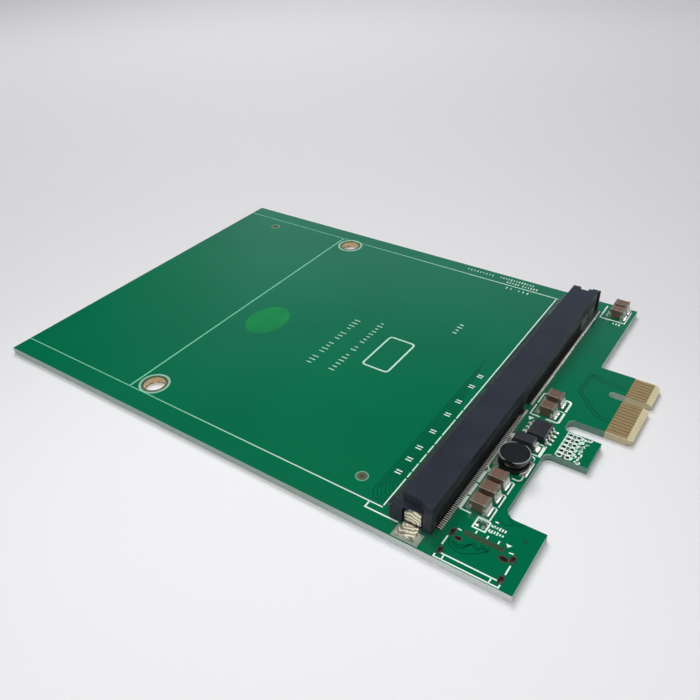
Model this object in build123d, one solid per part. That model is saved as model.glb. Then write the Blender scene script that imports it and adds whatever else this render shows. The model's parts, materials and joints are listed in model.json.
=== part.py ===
from build123d import *
import math
import os

# Riser card: a bare adapter board with an edge tongue at one end and a fine-pitch slot
# connector for a flat module. All sizes are in millimetres.
#
# x runs from the plain edge of the board towards the edge tongue, y from the near long edge to
# the far one, and z up from the underside. save_node moves every piece so that the origin is
# the middle of the board's outline, on the underside.

# Board outline
board_thickness = 1.6
board_width = 92.6
main_length = 119.9
wing_reach = 8.0
wing_width = 14.6
wing_root_radius = 2.1
tab_start = 33.5
tab_width = 8.0
tab_reach = 8.25
tab_root_radius = 1.4
relief_width = 3.8
relief_floor = 0.5
relief_radius = 1.3

# Edge tongue and its contacts
tongue_reach = 13.1
tongue_tip_radius = 1.0
tongue_root_radius = 0.4
bevel_length = 1.1
bevel_depth = 0.45
finger_pitch = 1.0
finger_width = 0.7
finger_length = 4.2
finger_margin = 0.65
near_finger_count = 11
far_finger_count = 7
key_jump = 3.0
key_width = 1.9
key_depth = 8.6
plating_thickness = 0.05
bare_tip = 1.25

# Screw holes: how far they stand in front of the slot connector and from the board's long edges
hole_setback = 63.2
hole_near_margin = 8.3
hole_far_margin = 7.3
hole_bore = 4.9

# Leg slots of the unfitted small socket, placed from the wing's end and the near edge
socket_slot_length = 1.6
socket_slot_width = 0.7
socket_slot_margin_x = 2.75
socket_slot_margin_y = 2.0
socket_span_x = 11.05
socket_span_y = 4.6

# Pads of the unfitted small socket
socket_pad_count = 19
socket_pad_pitch = 0.4
socket_pad_width = 0.23
socket_pad_length = 1.1
socket_pad_offset_x = 0.15
socket_pad_offset_y = 0.95

# Slot connector: its front's distance from the board's inner end, and its cross-section with
# heights from the board's top face
slot_setback = 17.2
jaw_front_height = 1.48
jaw_ramp_length = 1.8
jaw_ramp_rise = 0.47
slot_gap = 1.4
slot_depth = 5.9
upper_jaw_setback = 2.1
upper_jaw_height = 5.3
mouth_chamfer = 0.45
housing_depth = 8.35
skirt_height = 2.6
skirt_thickness = 0.1
contact_recess_front = 2.6
contact_recess_depth = 0.1

# Slot connector: ends
bar_start_y = 5.6
end_wall = 0.2
front_lug_depth = 3.2
front_lug_front = 0.2
front_lug_reach = 1.9
front_lug_height = 3.2
front_lug_chamfer = 0.7
front_lug_lead = 1.0
far_lug_reach = 0.6
far_lug_height = 2.2
rear_lug_depth = 1.6
rear_lug_overhang = 0.35
rear_lug_reach = 1.8
rear_lug_height = 4.7
far_rear_lug_depth = 2.0
far_rear_lug_reach = 0.5
corner_ramp_length = 2.5
corner_ramp_reach = 1.1
clip_block_reach = 1.3
clip_block_height = 3.25
clip_notch_width = 2.0
clip_notch_depth = 1.0
clip_notch_floor = 4.1

# Slot connector: contacts
contact_pitch = 0.5
contact_width = 0.26
contact_thickness = 0.2
near_contact_count = 75
far_contact_count = 64
contact_key_jump = 2.5
key_rib_width = 1.2
power_contact_width = 5.1
power_contact_gap = 0.2
contact_side_clearance = 0.02
contact_end_clearance = 0.07
upper_tip_setback = 3.1
upper_foot_length = 1.35
lower_tip_overrun = 0.4
lower_foot_length = 1.15

# Hold-down clips of the slot connector
clip_width = 3.3
clip_to_lug = 0.5
clip_height = 3.3
clip_foot_length = 2.7
clip_thickness = 0.3
clip_bend_radius = 0.55
clip_chamfer = 0.9
clip_pad_length = 5.2
clip_pad_width = 2.85
clip_pad_overhang_x = 0.6
clip_pad_shift = 1.2
clip_pad_thickness = 0.05

# Ceramic capacitors: rows behind the slot connector. Each gap runs from the connector's rear to
# the part, here and below; the corner row is placed from the far edge
capacitor_length = 3.2
capacitor_width = 2.5
capacitor_height = 2.3
capacitor_end_length = 0.55
capacitor_end_wall = 0.05
supply_capacitor_gap = 2.9
supply_capacitor_y = 14.0
supply_capacitor_pitch = 3.68
supply_capacitor_count = 3
output_capacitor_gap = 3.15
output_capacitor_y = 44.65
output_capacitor_pitch = 4.1
output_capacitor_count = 2
corner_capacitor_gap = 3.65
corner_capacitor_margin = 0.25
corner_capacitor_pitch = 3.1
corner_capacitor_count = 2

# Drum inductor
inductor_gap = 2.05
inductor_y = 27.25
inductor_diameter = 6.0
inductor_flat_width = 5.5
inductor_flange_height = 0.75
inductor_height = 3.0
inductor_post_diameter = 2.4
inductor_winding_diameter = 4.9
inductor_terminal_width = 4.2
inductor_terminal_length = 1.5
inductor_terminal_wall = 0.15
inductor_terminal_height = 0.55

# Diode in a moulded body with folded ends
diode_gap = 2.0
diode_y = 33.3
diode_length = 4.4
diode_width = 2.6
diode_height = 2.1
diode_top_inset = 0.22
diode_span = 5.2
diode_terminal_width = 1.5
diode_terminal_thickness = 0.2
diode_terminal_foot = 1.2

# Regulator chip with eight gull-wing leads
chip_gap = 2.85
chip_y = 37.9
chip_length = 3.9
chip_width = 4.9
chip_height = 1.6
chip_standoff = 0.12
chip_top_inset = 0.16
chip_span = 6.0
chip_lead_pitch = 1.27
chip_lead_width = 0.42
chip_lead_thickness = 0.2
chip_lead_foot = 0.7
chip_lead_count = 4

# Chip resistors
resistor_length = 1.0
resistor_width = 0.5
resistor_height = 0.35
resistor_end_length = 0.25
resistor_end_wall = 0.03
resistor_gap = 5.75
resistor_y = 10.6
resistor_pitch = 1.05
resistor_count = 2

# Places that follow from the sizes above
tongue_start = tab_start + tab_width + relief_width
tongue_width = 2 * finger_margin + (near_finger_count + far_finger_count - 2) * finger_pitch + key_jump
tongue_end = tongue_start + tongue_width
board_length = main_length + tongue_reach
first_finger_y = tongue_start + finger_margin
last_near_finger_y = first_finger_y + (near_finger_count - 1) * finger_pitch
first_far_finger_y = last_near_finger_y + key_jump
key_y = last_near_finger_y + key_jump / 2
finger_start_x = board_length - bare_tip - finger_length
bevel_start_x = board_length - bevel_length
slot_front_x = main_length - slot_setback
hole_x = slot_front_x - hole_setback
socket_rear_x = main_length + wing_reach - socket_slot_margin_x
socket_front_x = socket_rear_x - socket_span_x
socket_rear_y = socket_slot_margin_y + socket_span_y

card_slot_start = bar_start_y + end_wall
first_contact_y = card_slot_start + contact_end_clearance + contact_width / 2
last_near_contact_y = first_contact_y + (near_contact_count - 1) * contact_pitch
first_far_contact_y = last_near_contact_y + contact_key_jump
last_far_contact_y = first_far_contact_y + (far_contact_count - 1) * contact_pitch
key_rib_y = last_near_contact_y + contact_key_jump / 2
first_power_y = last_far_contact_y + contact_pitch + power_contact_width / 2 - contact_width / 2
power_pitch = power_contact_width + power_contact_gap
card_slot_end = first_power_y + power_pitch + power_contact_width / 2 + contact_end_clearance
bar_end_y = card_slot_end + end_wall

slot_floor = jaw_front_height + jaw_ramp_rise
slot_ceiling = slot_floor + slot_gap
slot_back_x = slot_front_x + slot_depth
upper_jaw_x = slot_front_x + upper_jaw_setback
housing_rear_x = slot_front_x + housing_depth
recess_top = slot_ceiling + contact_recess_depth
recess_front_x = slot_front_x + contact_recess_front
lead_outer_x = housing_rear_x - skirt_thickness
lead_inner_x = lead_outer_x - contact_thickness
lug_front_x = housing_rear_x + rear_lug_overhang - rear_lug_depth
clip_start_x = lug_front_x - clip_to_lug - clip_width

inductor_x = housing_rear_x + inductor_gap + inductor_diameter / 2
diode_x = housing_rear_x + diode_gap + diode_span / 2
chip_x = housing_rear_x + chip_gap + chip_span / 2
resistor_x = housing_rear_x + resistor_gap + resistor_width / 2

supply_capacitor_x = housing_rear_x + supply_capacitor_gap + capacitor_length / 2
output_capacitor_x = housing_rear_x + output_capacitor_gap + capacitor_length / 2
corner_capacitor_x = housing_rear_x + corner_capacitor_gap + capacitor_length / 2
corner_capacitor_row = (corner_capacitor_count - 1) * corner_capacitor_pitch
corner_capacitor_y = board_width - corner_capacitor_margin - capacitor_width / 2 - corner_capacitor_row

# Each row of ceramic capacitors: x, first y, pitch and count
capacitor_rows = {
    "supply": (supply_capacitor_x, supply_capacitor_y, supply_capacitor_pitch, supply_capacitor_count),
    "output": (output_capacitor_x, output_capacitor_y, output_capacitor_pitch, output_capacitor_count),
    "corner": (corner_capacitor_x, corner_capacitor_y, corner_capacitor_pitch, corner_capacitor_count),
}


def rectangle(x_start, x_end, y_start, y_end):
    """Flat rectangle between two x and two y values."""
    middle = Pos((x_start + x_end) / 2, (y_start + y_end) / 2)
    return middle * Rectangle(x_end - x_start, y_end - y_start)


def block(x_start, x_end, y_start, y_end, z_start, z_end):
    """Box between two values on each axis."""
    return Pos(0, 0, z_start) * extrude(rectangle(x_start, x_end, y_start, y_end), z_end - z_start)


def side_face(points):
    """Flat face from points given as (x, z)."""
    return make_face(Polyline(*points, close=True))


def along_y(face, y_start, y_end):
    """Solid with the given x-z section, from y_start to y_end."""
    return Pos(0, y_start, 0) * extrude(Plane.XZ * face, y_start - y_end)


def on_board(solid):
    """Lifts a solid from z = 0 to the board's top face."""
    return Pos(0, 0, board_thickness) * solid


def round_corner(outline, x, y, radius):
    """Rounds the corner of a flat outline that lies nearest to (x, y)."""
    corner = min(outline.vertices(), key=lambda vertex: math.hypot(vertex.X - x, vertex.Y - y))
    return fillet(corner, radius)


def strip_face(path, thickness):
    """Side view of a bent metal strip: path is its centre line in x and z, with mitred bends."""
    sides = ([], [])
    for index, (x, z) in enumerate(path):
        before = path[max(index - 1, 0)]
        after = path[min(index + 1, len(path) - 1)]
        into = math.atan2(z - before[1], x - before[0])
        out = math.atan2(after[1] - z, after[0] - x)
        if index == 0:
            into = out
        if index == len(path) - 1:
            out = into
        turn = (out - into + math.pi) % (2 * math.pi) - math.pi
        normal = into + turn / 2 + math.pi / 2
        reach = thickness / 2 / math.cos(turn / 2)
        sides[0].append((x + reach * math.cos(normal), z + reach * math.sin(normal)))
        sides[1].append((x - reach * math.cos(normal), z - reach * math.sin(normal)))
    return side_face(sides[0] + sides[1][::-1])


def strip(path, thickness, y_middle, width):
    """Bent metal strip centred on y_middle."""
    return along_y(strip_face(path, thickness), y_middle - width / 2, y_middle + width / 2)


def evenly(start, pitch, count):
    """Places from start at a fixed pitch."""
    return [start + index * pitch for index in range(count)]


def save_node(name, solids):
    """Writes one node, moved to the part's own origin."""
    placed = [Pos(-board_length / 2, -board_width / 2, 0) * solid for solid in solids]
    export_step(Compound(placed), f"parts/{name}.step")


# --- board -----------------------------------------------------------------------------------

def mounting_hole_places():
    """Centres of the two screw holes."""
    return [(hole_x, y) for y in (hole_near_margin, board_width - hole_far_margin)]


def socket_slot_places():
    """Centres of the four slots for the legs of the unfitted socket."""
    return [(x, y) for x in (socket_front_x, socket_rear_x) for y in (socket_slot_margin_y, socket_rear_y)]


def board_outline():
    """Main field with the bracket wing, the support tab and the edge tongue."""
    tab_end = tab_start + tab_width
    relief_x = main_length + relief_floor
    outline = rectangle(0, main_length, 0, board_width)
    outline += rectangle(0, main_length + wing_reach, 0, wing_width)
    outline += rectangle(0, main_length + tab_reach, tab_start, tab_end)
    outline += rectangle(0, relief_x, tab_start, tongue_end)
    outline += rectangle(0, board_length, tongue_start, tongue_end)
    outline = round_corner(outline, main_length, wing_width, wing_root_radius)
    outline = round_corner(outline, main_length, tab_start, tab_root_radius)
    outline = round_corner(outline, relief_x, tab_end, relief_radius)
    outline = round_corner(outline, relief_x, tongue_start, relief_radius)
    outline = round_corner(outline, main_length, tongue_end, tongue_root_radius)
    outline = round_corner(outline, board_length, tongue_start, tongue_tip_radius)
    return round_corner(outline, board_length, tongue_end, tongue_tip_radius)


def key_notch():
    """Polarising notch of the tongue, with a round closed end."""
    root_x = board_length - key_depth + key_width / 2
    notch = rectangle(root_x, board_length + key_width, key_y - key_width / 2, key_y + key_width / 2)
    return notch + Pos(root_x, key_y) * Circle(key_width / 2)


def tongue_relief():
    """What is milled off the top of the tongue: the solder mask's thickness and the lead-in bevel."""
    bare_top = board_thickness - plating_thickness
    past_end = board_length + bevel_length
    section = [
        (finger_start_x, board_thickness + bevel_length),
        (finger_start_x, bare_top),
        (bevel_start_x, bare_top),
        (board_length, bare_top - bevel_depth),
        (past_end, bare_top - bevel_depth),
        (past_end, board_thickness + bevel_length),
    ]
    return along_y(side_face(section), tongue_start - relief_width / 2, tongue_end + relief_width / 2)


def circuit_board():
    """Fibreglass board with its outline, holes and bevelled tongue."""
    openings = key_notch()
    for x, y in mounting_hole_places():
        openings += Pos(x, y) * Circle(hole_bore / 2)
    for x, y in socket_slot_places():
        openings += Pos(x, y) * SlotOverall(socket_slot_length, socket_slot_width, rotation=90)
    board = extrude(board_outline() - openings, board_thickness)
    middle = Plane.XY.offset(board_thickness / 2)
    return board - tongue_relief() - mirror(tongue_relief(), about=middle)


def finger_places():
    """Centres along y of the contacts on one face of the tongue."""
    near = evenly(first_finger_y, finger_pitch, near_finger_count)
    far = evenly(first_far_finger_y, finger_pitch, far_finger_count)
    return near + far


def edge_fingers(z_start):
    """One face's row of gold contacts, as thick as the solder mask beside them."""
    end_x = finger_start_x + finger_length
    half = finger_width / 2
    z_end = z_start + plating_thickness
    return [block(finger_start_x, end_x, y - half, y + half, z_start, z_end) for y in finger_places()]


def socket_pads():
    """Row of bare pads for the unfitted socket, between its rear leg slots."""
    middle_x = socket_front_x + socket_span_x / 2 - socket_pad_offset_x
    start_x = middle_x - (socket_pad_count - 1) * socket_pad_pitch / 2
    middle_y = socket_rear_y + socket_pad_offset_y
    pad = Box(socket_pad_width, socket_pad_length, plating_thickness)
    z = plating_thickness / 2
    return [on_board(Pos(x, middle_y, z) * pad) for x in evenly(start_x, socket_pad_pitch, socket_pad_count)]


# --- slot connector --------------------------------------------------------------------------

def signal_places():
    """Centres along y of the fine-pitch contacts, left out at the key."""
    near = evenly(first_contact_y, contact_pitch, near_contact_count)
    far = evenly(first_far_contact_y, contact_pitch, far_contact_count)
    return near + far


def power_places():
    """Centres along y of the two wide power contacts."""
    return [first_power_y, first_power_y + power_pitch]


def contact_spans():
    """Stretches along y that hold contacts: both signal fields and the power field."""
    edge = contact_width / 2 + contact_side_clearance
    power_edge = power_contact_width / 2 + contact_side_clearance
    return [
        (first_contact_y - edge, last_near_contact_y + edge),
        (first_far_contact_y - edge, last_far_contact_y + edge),
        (power_places()[0] - power_edge, power_places()[-1] + power_edge),
    ]


def housing_bar():
    """Long moulded bar before its card slot is cut: low jaw in front, high jaw and wall behind."""
    section = [
        (slot_front_x, 0),
        (slot_front_x, jaw_front_height),
        (slot_front_x + jaw_ramp_length, slot_floor),
        (upper_jaw_x, slot_floor),
        (upper_jaw_x, upper_jaw_height),
        (housing_rear_x, upper_jaw_height),
        (housing_rear_x, 0),
    ]
    return along_y(side_face(section), bar_start_y, bar_end_y)


def card_slot():
    """Room for the module's edge, with a chamfered upper lip, parted by the key rib."""
    section = [
        (slot_front_x, slot_floor),
        (slot_back_x, slot_floor),
        (slot_back_x, slot_ceiling),
        (upper_jaw_x + mouth_chamfer, slot_ceiling),
        (upper_jaw_x, slot_ceiling + mouth_chamfer),
        (slot_front_x, slot_ceiling + mouth_chamfer),
    ]
    room = along_y(side_face(section), card_slot_start, card_slot_end)
    half = key_rib_width / 2
    return room - block(
        upper_jaw_x, slot_back_x, key_rib_y - half, key_rib_y + half, slot_floor, upper_jaw_height
    )


def contact_recesses():
    """Room for the upper contacts: above the card slot, through the rear wall and down behind the skirt."""
    run_floor = recess_top - contact_thickness
    section = [
        (recess_front_x, recess_top),
        (lead_outer_x, recess_top),
        (lead_outer_x, skirt_height),
        (lead_inner_x, skirt_height),
        (lead_inner_x, run_floor),
        (recess_front_x, run_floor),
    ]
    return [along_y(side_face(section), y_start, y_end) for y_start, y_end in contact_spans()]


def comb_groove(y_middle, contact):
    """Groove for one tail, from the skirt down to the board."""
    half = contact / 2 + contact_side_clearance
    return block(lead_inner_x, housing_rear_x, y_middle - half, y_middle + half, 0, skirt_height)


def comb_grooves():
    """All the grooves in the rear wall."""
    signal = [comb_groove(y, contact_width) for y in signal_places()]
    power = [comb_groove(y, power_contact_width) for y in power_places()]
    return signal + power


def front_lug(y_start, y_end, height, outer_y):
    """Low guide lug at one end of the lower jaw, chamfered at its outer front corner and its front top edge."""
    start_x = slot_front_x - front_lug_front
    outline = rectangle(start_x, start_x + front_lug_depth, y_start, y_end)
    corner = min(outline.vertices(), key=lambda vertex: math.hypot(vertex.X - start_x, vertex.Y - outer_y))
    lug = extrude(chamfer(corner, min(front_lug_chamfer, (y_end - y_start) / 2)), height)
    lead_in = side_face([
        (start_x, height - front_lug_lead),
        (start_x + front_lug_lead, height),
        (start_x, height),
    ])
    return lug - along_y(lead_in, y_start, y_end)


def near_end():
    """Near end: guide lug, clip block, the slanted corner of the top and the rear lug."""
    lug_y = bar_start_y - front_lug_reach
    slant = make_face(Polyline(
        (housing_rear_x - corner_ramp_length, bar_start_y),
        (housing_rear_x, bar_start_y - corner_ramp_reach),
        (housing_rear_x, bar_start_y),
        close=True,
    ))
    return [
        front_lug(lug_y, bar_start_y + end_wall / 2, front_lug_height, lug_y),
        block(slot_front_x, housing_rear_x, bar_start_y - clip_block_reach, bar_start_y,
              0, clip_block_height),
        extrude(slant, upper_jaw_height),
        block(lug_front_x, lug_front_x + rear_lug_depth, bar_start_y - rear_lug_reach, bar_start_y,
              0, rear_lug_height),
    ]


def far_end():
    """Far end: a shorter guide lug and a full-height rear lug."""
    lug_y = bar_end_y + far_lug_reach
    rear_end_x = housing_rear_x + rear_lug_overhang
    return [
        front_lug(bar_end_y - end_wall / 2, lug_y, far_lug_height, lug_y),
        block(rear_end_x - far_rear_lug_depth, rear_end_x, bar_end_y - end_wall,
              bar_end_y + far_rear_lug_reach, 0, upper_jaw_height),
    ]


def slot_housing():
    """Moulded housing of the slot connector."""
    notch_x = clip_start_x + (clip_width - clip_notch_width) / 2
    notch = block(
        notch_x, notch_x + clip_notch_width, bar_end_y - clip_notch_depth, bar_end_y + clip_notch_depth,
        clip_notch_floor, upper_jaw_height + clip_notch_depth,
    )
    housing = housing_bar() - card_slot() - contact_recesses() - comb_grooves() - notch
    return on_board(housing + near_end() + far_end())


def upper_contact(y_middle, width):
    """Upper contact: straight beam above the card, tail down the rear wall and solder foot."""
    half = contact_thickness / 2
    beam_z = recess_top - half
    tail_x = (lead_inner_x + lead_outer_x) / 2
    path = [
        (slot_front_x + upper_tip_setback, beam_z),
        (tail_x, beam_z),
        (tail_x, half),
        (tail_x + upper_foot_length, half),
    ]
    return on_board(strip(path, contact_thickness, y_middle, width))


def lower_contact(y_middle, width):
    """Lower contact: lies on the jaw's ramp, turns down its front face and ends in a solder foot."""
    half = contact_thickness / 2
    slope = math.atan2(jaw_ramp_rise, jaw_ramp_length)
    tail_x = slot_front_x - half
    lift = half / math.cos(slope)
    tip_run = jaw_ramp_length + lower_tip_overrun
    path = [
        (slot_front_x + tip_run, jaw_front_height + lift + tip_run * math.tan(slope)),
        (tail_x, jaw_front_height + lift - half * math.tan(slope)),
        (tail_x, half),
        (tail_x - lower_foot_length, half),
    ]
    return on_board(strip(path, contact_thickness, y_middle, width))


def clip_profile():
    """Side view of a hold-down clip in y and z, its back at y = 0 and its foot towards -y."""
    foot_end = -clip_thickness - clip_foot_length
    outer = [(0, 0), (foot_end, 0), (foot_end, clip_thickness)]
    inner = [(-clip_thickness, clip_thickness), (-clip_thickness, clip_height), (0, clip_height)]
    profile = make_face(Polyline(*outer, *inner, close=True))
    return round_corner(profile, 0, 0, clip_bend_radius)


def hold_down_clip():
    """Folded sheet clip with one top corner cut away, its flat back at y = 0."""
    body = extrude(Plane.YZ * clip_profile(), clip_width)
    cut = side_face([
        (0, clip_height - clip_chamfer),
        (clip_chamfer, clip_height),
        (0, clip_height),
    ])
    return body - along_y(cut, -2 * clip_thickness, clip_thickness)


def hold_down_clips():
    """One clip against each end of the housing, soldered down."""
    clip = hold_down_clip()
    near_face_y = bar_start_y - clip_block_reach
    near = Pos(clip_start_x, near_face_y, clip_pad_thickness) * clip
    far = Pos(clip_start_x, bar_end_y, clip_pad_thickness) * mirror(clip, about=Plane.XZ)
    return [on_board(near), on_board(far)]


def clip_pads():
    """Tinned pads under the clips' feet."""
    start_x = clip_start_x - clip_pad_overhang_x
    near_y = bar_start_y - clip_block_reach - clip_pad_shift
    far_y = bar_end_y + clip_pad_shift
    spans = [(near_y - clip_pad_width, near_y), (far_y, far_y + clip_pad_width)]
    return [
        on_board(block(start_x, start_x + clip_pad_length, y_start, y_end, 0, clip_pad_thickness))
        for y_start, y_end in spans
    ]


# --- small parts -----------------------------------------------------------------------------

def capped_block(length, width, height, end_length, end_wall_thickness):
    """Ceramic body along x and its two wrapped metal ends, resting on z = 0."""
    core_size = [size - 2 * end_wall_thickness for size in (length, width, height)]
    core = Pos(0, 0, height / 2) * Box(*core_size)
    ends = []
    for side in (-1, 1):
        middle_x = side * (length - end_length) / 2
        end = Pos(middle_x, 0, height / 2) * Box(end_length, width, height)
        ends.append(end - core)
    return core, ends


def capacitors(x, y_start, pitch, count):
    """Row of ceramic capacitors: their bodies and their ends."""
    core, ends = capped_block(
        capacitor_length, capacitor_width, capacitor_height, capacitor_end_length, capacitor_end_wall
    )
    places = [on_board(Pos(x, y)) for y in evenly(y_start, pitch, count)]
    bodies = [place * core for place in places]
    terminals = [place * end for place in places for end in ends]
    return bodies, terminals


def resistors():
    """Two small chip resistors, standing side by side with their ends along y."""
    core, ends = capped_block(
        resistor_length, resistor_width, resistor_height, resistor_end_length, resistor_end_wall
    )
    turn = Rot(0, 0, 90)
    places = [on_board(Pos(x, resistor_y)) for x in evenly(resistor_x, resistor_pitch, resistor_count)]
    bodies = [place * turn * core for place in places]
    terminals = [place * turn * end for place in places for end in ends]
    return bodies, terminals


def inductor_flange():
    """Outline of the drum's flanges: a disc with two flats."""
    return Circle(inductor_diameter / 2) & Rectangle(inductor_diameter, inductor_flat_width)


def inductor_core():
    """Ferrite drum: two flanges on a post, standing on its terminals."""
    post_height = inductor_height - inductor_terminal_wall
    drum = extrude(inductor_flange(), inductor_flange_height)
    drum += Pos(0, 0, post_height - inductor_flange_height) * drum
    drum += extrude(Circle(inductor_post_diameter / 2), post_height)
    return Pos(0, 0, inductor_terminal_wall) * drum


def inductor_winding():
    """Wound wire between the flanges, as the one ring that its turns fill."""
    bottom = inductor_terminal_wall + inductor_flange_height
    top = inductor_height - inductor_flange_height
    ring = Circle(inductor_winding_diameter / 2) - Circle(inductor_post_diameter / 2)
    return Pos(0, 0, bottom) * extrude(ring, top - bottom)


def inductor_terminals():
    """Metal terminals folded round the lower flange at both ends."""
    reach = inductor_diameter / 2 + inductor_terminal_wall
    outline = Circle(reach) & Rectangle(2 * reach, inductor_terminal_width)
    outline -= Rectangle(2 * (reach - inductor_terminal_length), inductor_terminal_width)
    shell = extrude(outline, inductor_terminal_height)
    return (shell - inductor_core()).solids()


def moulded_body(length, width, bottom, height, inset):
    """Moulded body that tapers up and down from its parting line."""
    parting = (bottom + height) / 2
    half_height = height - parting
    taper = math.degrees(math.atan2(inset, half_height))
    outline = Pos(0, 0, parting) * Rectangle(length, width)
    upper = extrude(outline, half_height, taper=taper)
    lower = extrude(outline, -half_height, taper=taper)
    return upper + lower


def diode_body():
    """Moulded body of the diode, resting on its folded ends."""
    return moulded_body(
        diode_length, diode_width, diode_terminal_thickness, diode_height, diode_top_inset
    )


def diode_terminals():
    """Flat terminals that leave at the parting line and fold down and under the body."""
    half = diode_terminal_thickness / 2
    parting = (diode_terminal_thickness + diode_height) / 2
    outer_x = diode_span / 2 - half
    path = [
        (diode_length / 2, parting),
        (outer_x, parting),
        (outer_x, half),
        (diode_span / 2 - diode_terminal_foot, half),
    ]
    right = strip(path, diode_terminal_thickness, 0, diode_terminal_width)
    return [right, mirror(right, about=Plane.YZ)]


def chip_body():
    """Moulded body of the regulator chip."""
    return moulded_body(chip_length, chip_width, chip_standoff, chip_height, chip_top_inset)


def chip_leads():
    """Gull-wing leads along both sides of the chip."""
    half = chip_lead_thickness / 2
    parting = (chip_standoff + chip_height) / 2
    foot_x = chip_span / 2 - chip_lead_foot
    knee_x = (chip_length / 2 + foot_x) / 2
    path = [
        (chip_length / 2, parting),
        (knee_x, parting),
        (foot_x, half),
        (chip_span / 2, half),
    ]
    start_y = -(chip_lead_count - 1) * chip_lead_pitch / 2
    leads = []
    for y in evenly(start_y, chip_lead_pitch, chip_lead_count):
        lead = strip(path, chip_lead_thickness, y, chip_lead_width)
        leads += [lead, mirror(lead, about=Plane.YZ)]
    return leads


def placed(x, y, solids):
    """Stands solids modelled about the origin on the board at (x, y)."""
    return [on_board(Pos(x, y) * solid) for solid in solids]


def main():
    """Builds every node and writes its file."""
    os.makedirs("parts", exist_ok=True)
    save_node("circuit_board", [circuit_board()])
    save_node("socket_pads", socket_pads())
    save_node("edge_contacts_top", edge_fingers(board_thickness - plating_thickness))
    save_node("edge_contacts_bottom", edge_fingers(0))

    save_node("slot_housing", [slot_housing()])
    save_node("upper_signal_contacts", [upper_contact(y, contact_width) for y in signal_places()])
    save_node("lower_signal_contacts", [lower_contact(y, contact_width) for y in signal_places()])
    save_node("upper_power_contacts", [upper_contact(y, power_contact_width) for y in power_places()])
    save_node("lower_power_contacts", [lower_contact(y, power_contact_width) for y in power_places()])
    save_node("hold_down_clips", hold_down_clips())
    save_node("hold_down_pads", clip_pads())

    for name, row in capacitor_rows.items():
        bodies, terminals = capacitors(*row)
        save_node(f"{name}_capacitor_bodies", bodies)
        save_node(f"{name}_capacitor_ends", terminals)
    resistor_bodies, resistor_ends = resistors()
    save_node("resistor_bodies", resistor_bodies)
    save_node("resistor_ends", resistor_ends)

    save_node("inductor_core", placed(inductor_x, inductor_y, [inductor_core()]))
    save_node("inductor_winding", placed(inductor_x, inductor_y, [inductor_winding()]))
    save_node("inductor_terminals", placed(inductor_x, inductor_y, inductor_terminals()))
    save_node("diode_body", placed(diode_x, diode_y, [diode_body()]))
    save_node("diode_terminals", placed(diode_x, diode_y, diode_terminals()))
    save_node("regulator_body", placed(chip_x, chip_y, [chip_body()]))
    save_node("regulator_leads", placed(chip_x, chip_y, chip_leads()))


main()
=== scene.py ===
import json
import math
import random
from collections import namedtuple

import bpy
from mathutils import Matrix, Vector


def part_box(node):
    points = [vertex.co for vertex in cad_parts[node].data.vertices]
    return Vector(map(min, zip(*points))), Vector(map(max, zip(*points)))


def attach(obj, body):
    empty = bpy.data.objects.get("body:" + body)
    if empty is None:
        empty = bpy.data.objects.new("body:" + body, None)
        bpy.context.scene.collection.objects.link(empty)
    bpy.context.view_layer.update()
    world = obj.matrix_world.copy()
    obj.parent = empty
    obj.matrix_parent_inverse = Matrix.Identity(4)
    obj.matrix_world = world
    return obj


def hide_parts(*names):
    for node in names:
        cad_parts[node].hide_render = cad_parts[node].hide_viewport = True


bl_info = {
    "name": "Riser card looks",
    "version": (1, 0, 0),
    "blender": (4, 5, 0),
    "location": "View3D > Sidebar > Riser card",
    "description": "Finishes, print, copper, solder and stage for the riser card",
    "category": "Object",
}

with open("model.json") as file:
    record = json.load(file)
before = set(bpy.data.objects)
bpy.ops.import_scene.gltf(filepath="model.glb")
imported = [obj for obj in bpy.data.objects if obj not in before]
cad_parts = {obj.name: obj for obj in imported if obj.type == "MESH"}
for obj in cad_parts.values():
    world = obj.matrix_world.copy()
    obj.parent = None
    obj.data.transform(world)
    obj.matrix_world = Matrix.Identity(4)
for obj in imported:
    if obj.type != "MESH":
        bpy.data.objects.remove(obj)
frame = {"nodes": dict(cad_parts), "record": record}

# Lengths below are in millimetres, in board coordinates: x from the plain edge towards the edge
# tongue, y from the near long edge, z from the board's top face.
MM = 0.001
SUNK = -0.01  # where thin layers start, just under the face that they lie on
DOME_FOOT = -0.005
BOARD_LOW, BOARD_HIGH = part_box("circuit_board")


def board_point(x, y, z):
    """Point of the row frame, in metres, from board coordinates."""
    return Vector((BOARD_LOW.x + x * MM, BOARD_LOW.y + y * MM, BOARD_HIGH.z + z * MM))


def board_box(node):
    """Lowest and highest corner of a CAD node in board coordinates."""
    low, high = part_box(node)
    origin = board_point(0, 0, 0)
    return (low - origin) / MM, (high - origin) / MM


def holes():
    """Centres and radius of the screw holes."""
    mount = next(m for m in frame["record"]["mounts"] if m["name"] == "mounting_holes")
    middle = (Vector(mount["pos_m"]) - board_point(0, 0, 0)) / MM
    half = mount["dims"]["spacing_y_mm"] / 2
    return [(middle.x, middle.y - half), (middle.x, middle.y + half)], mount["dims"]["hole_r_mm"]


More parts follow.
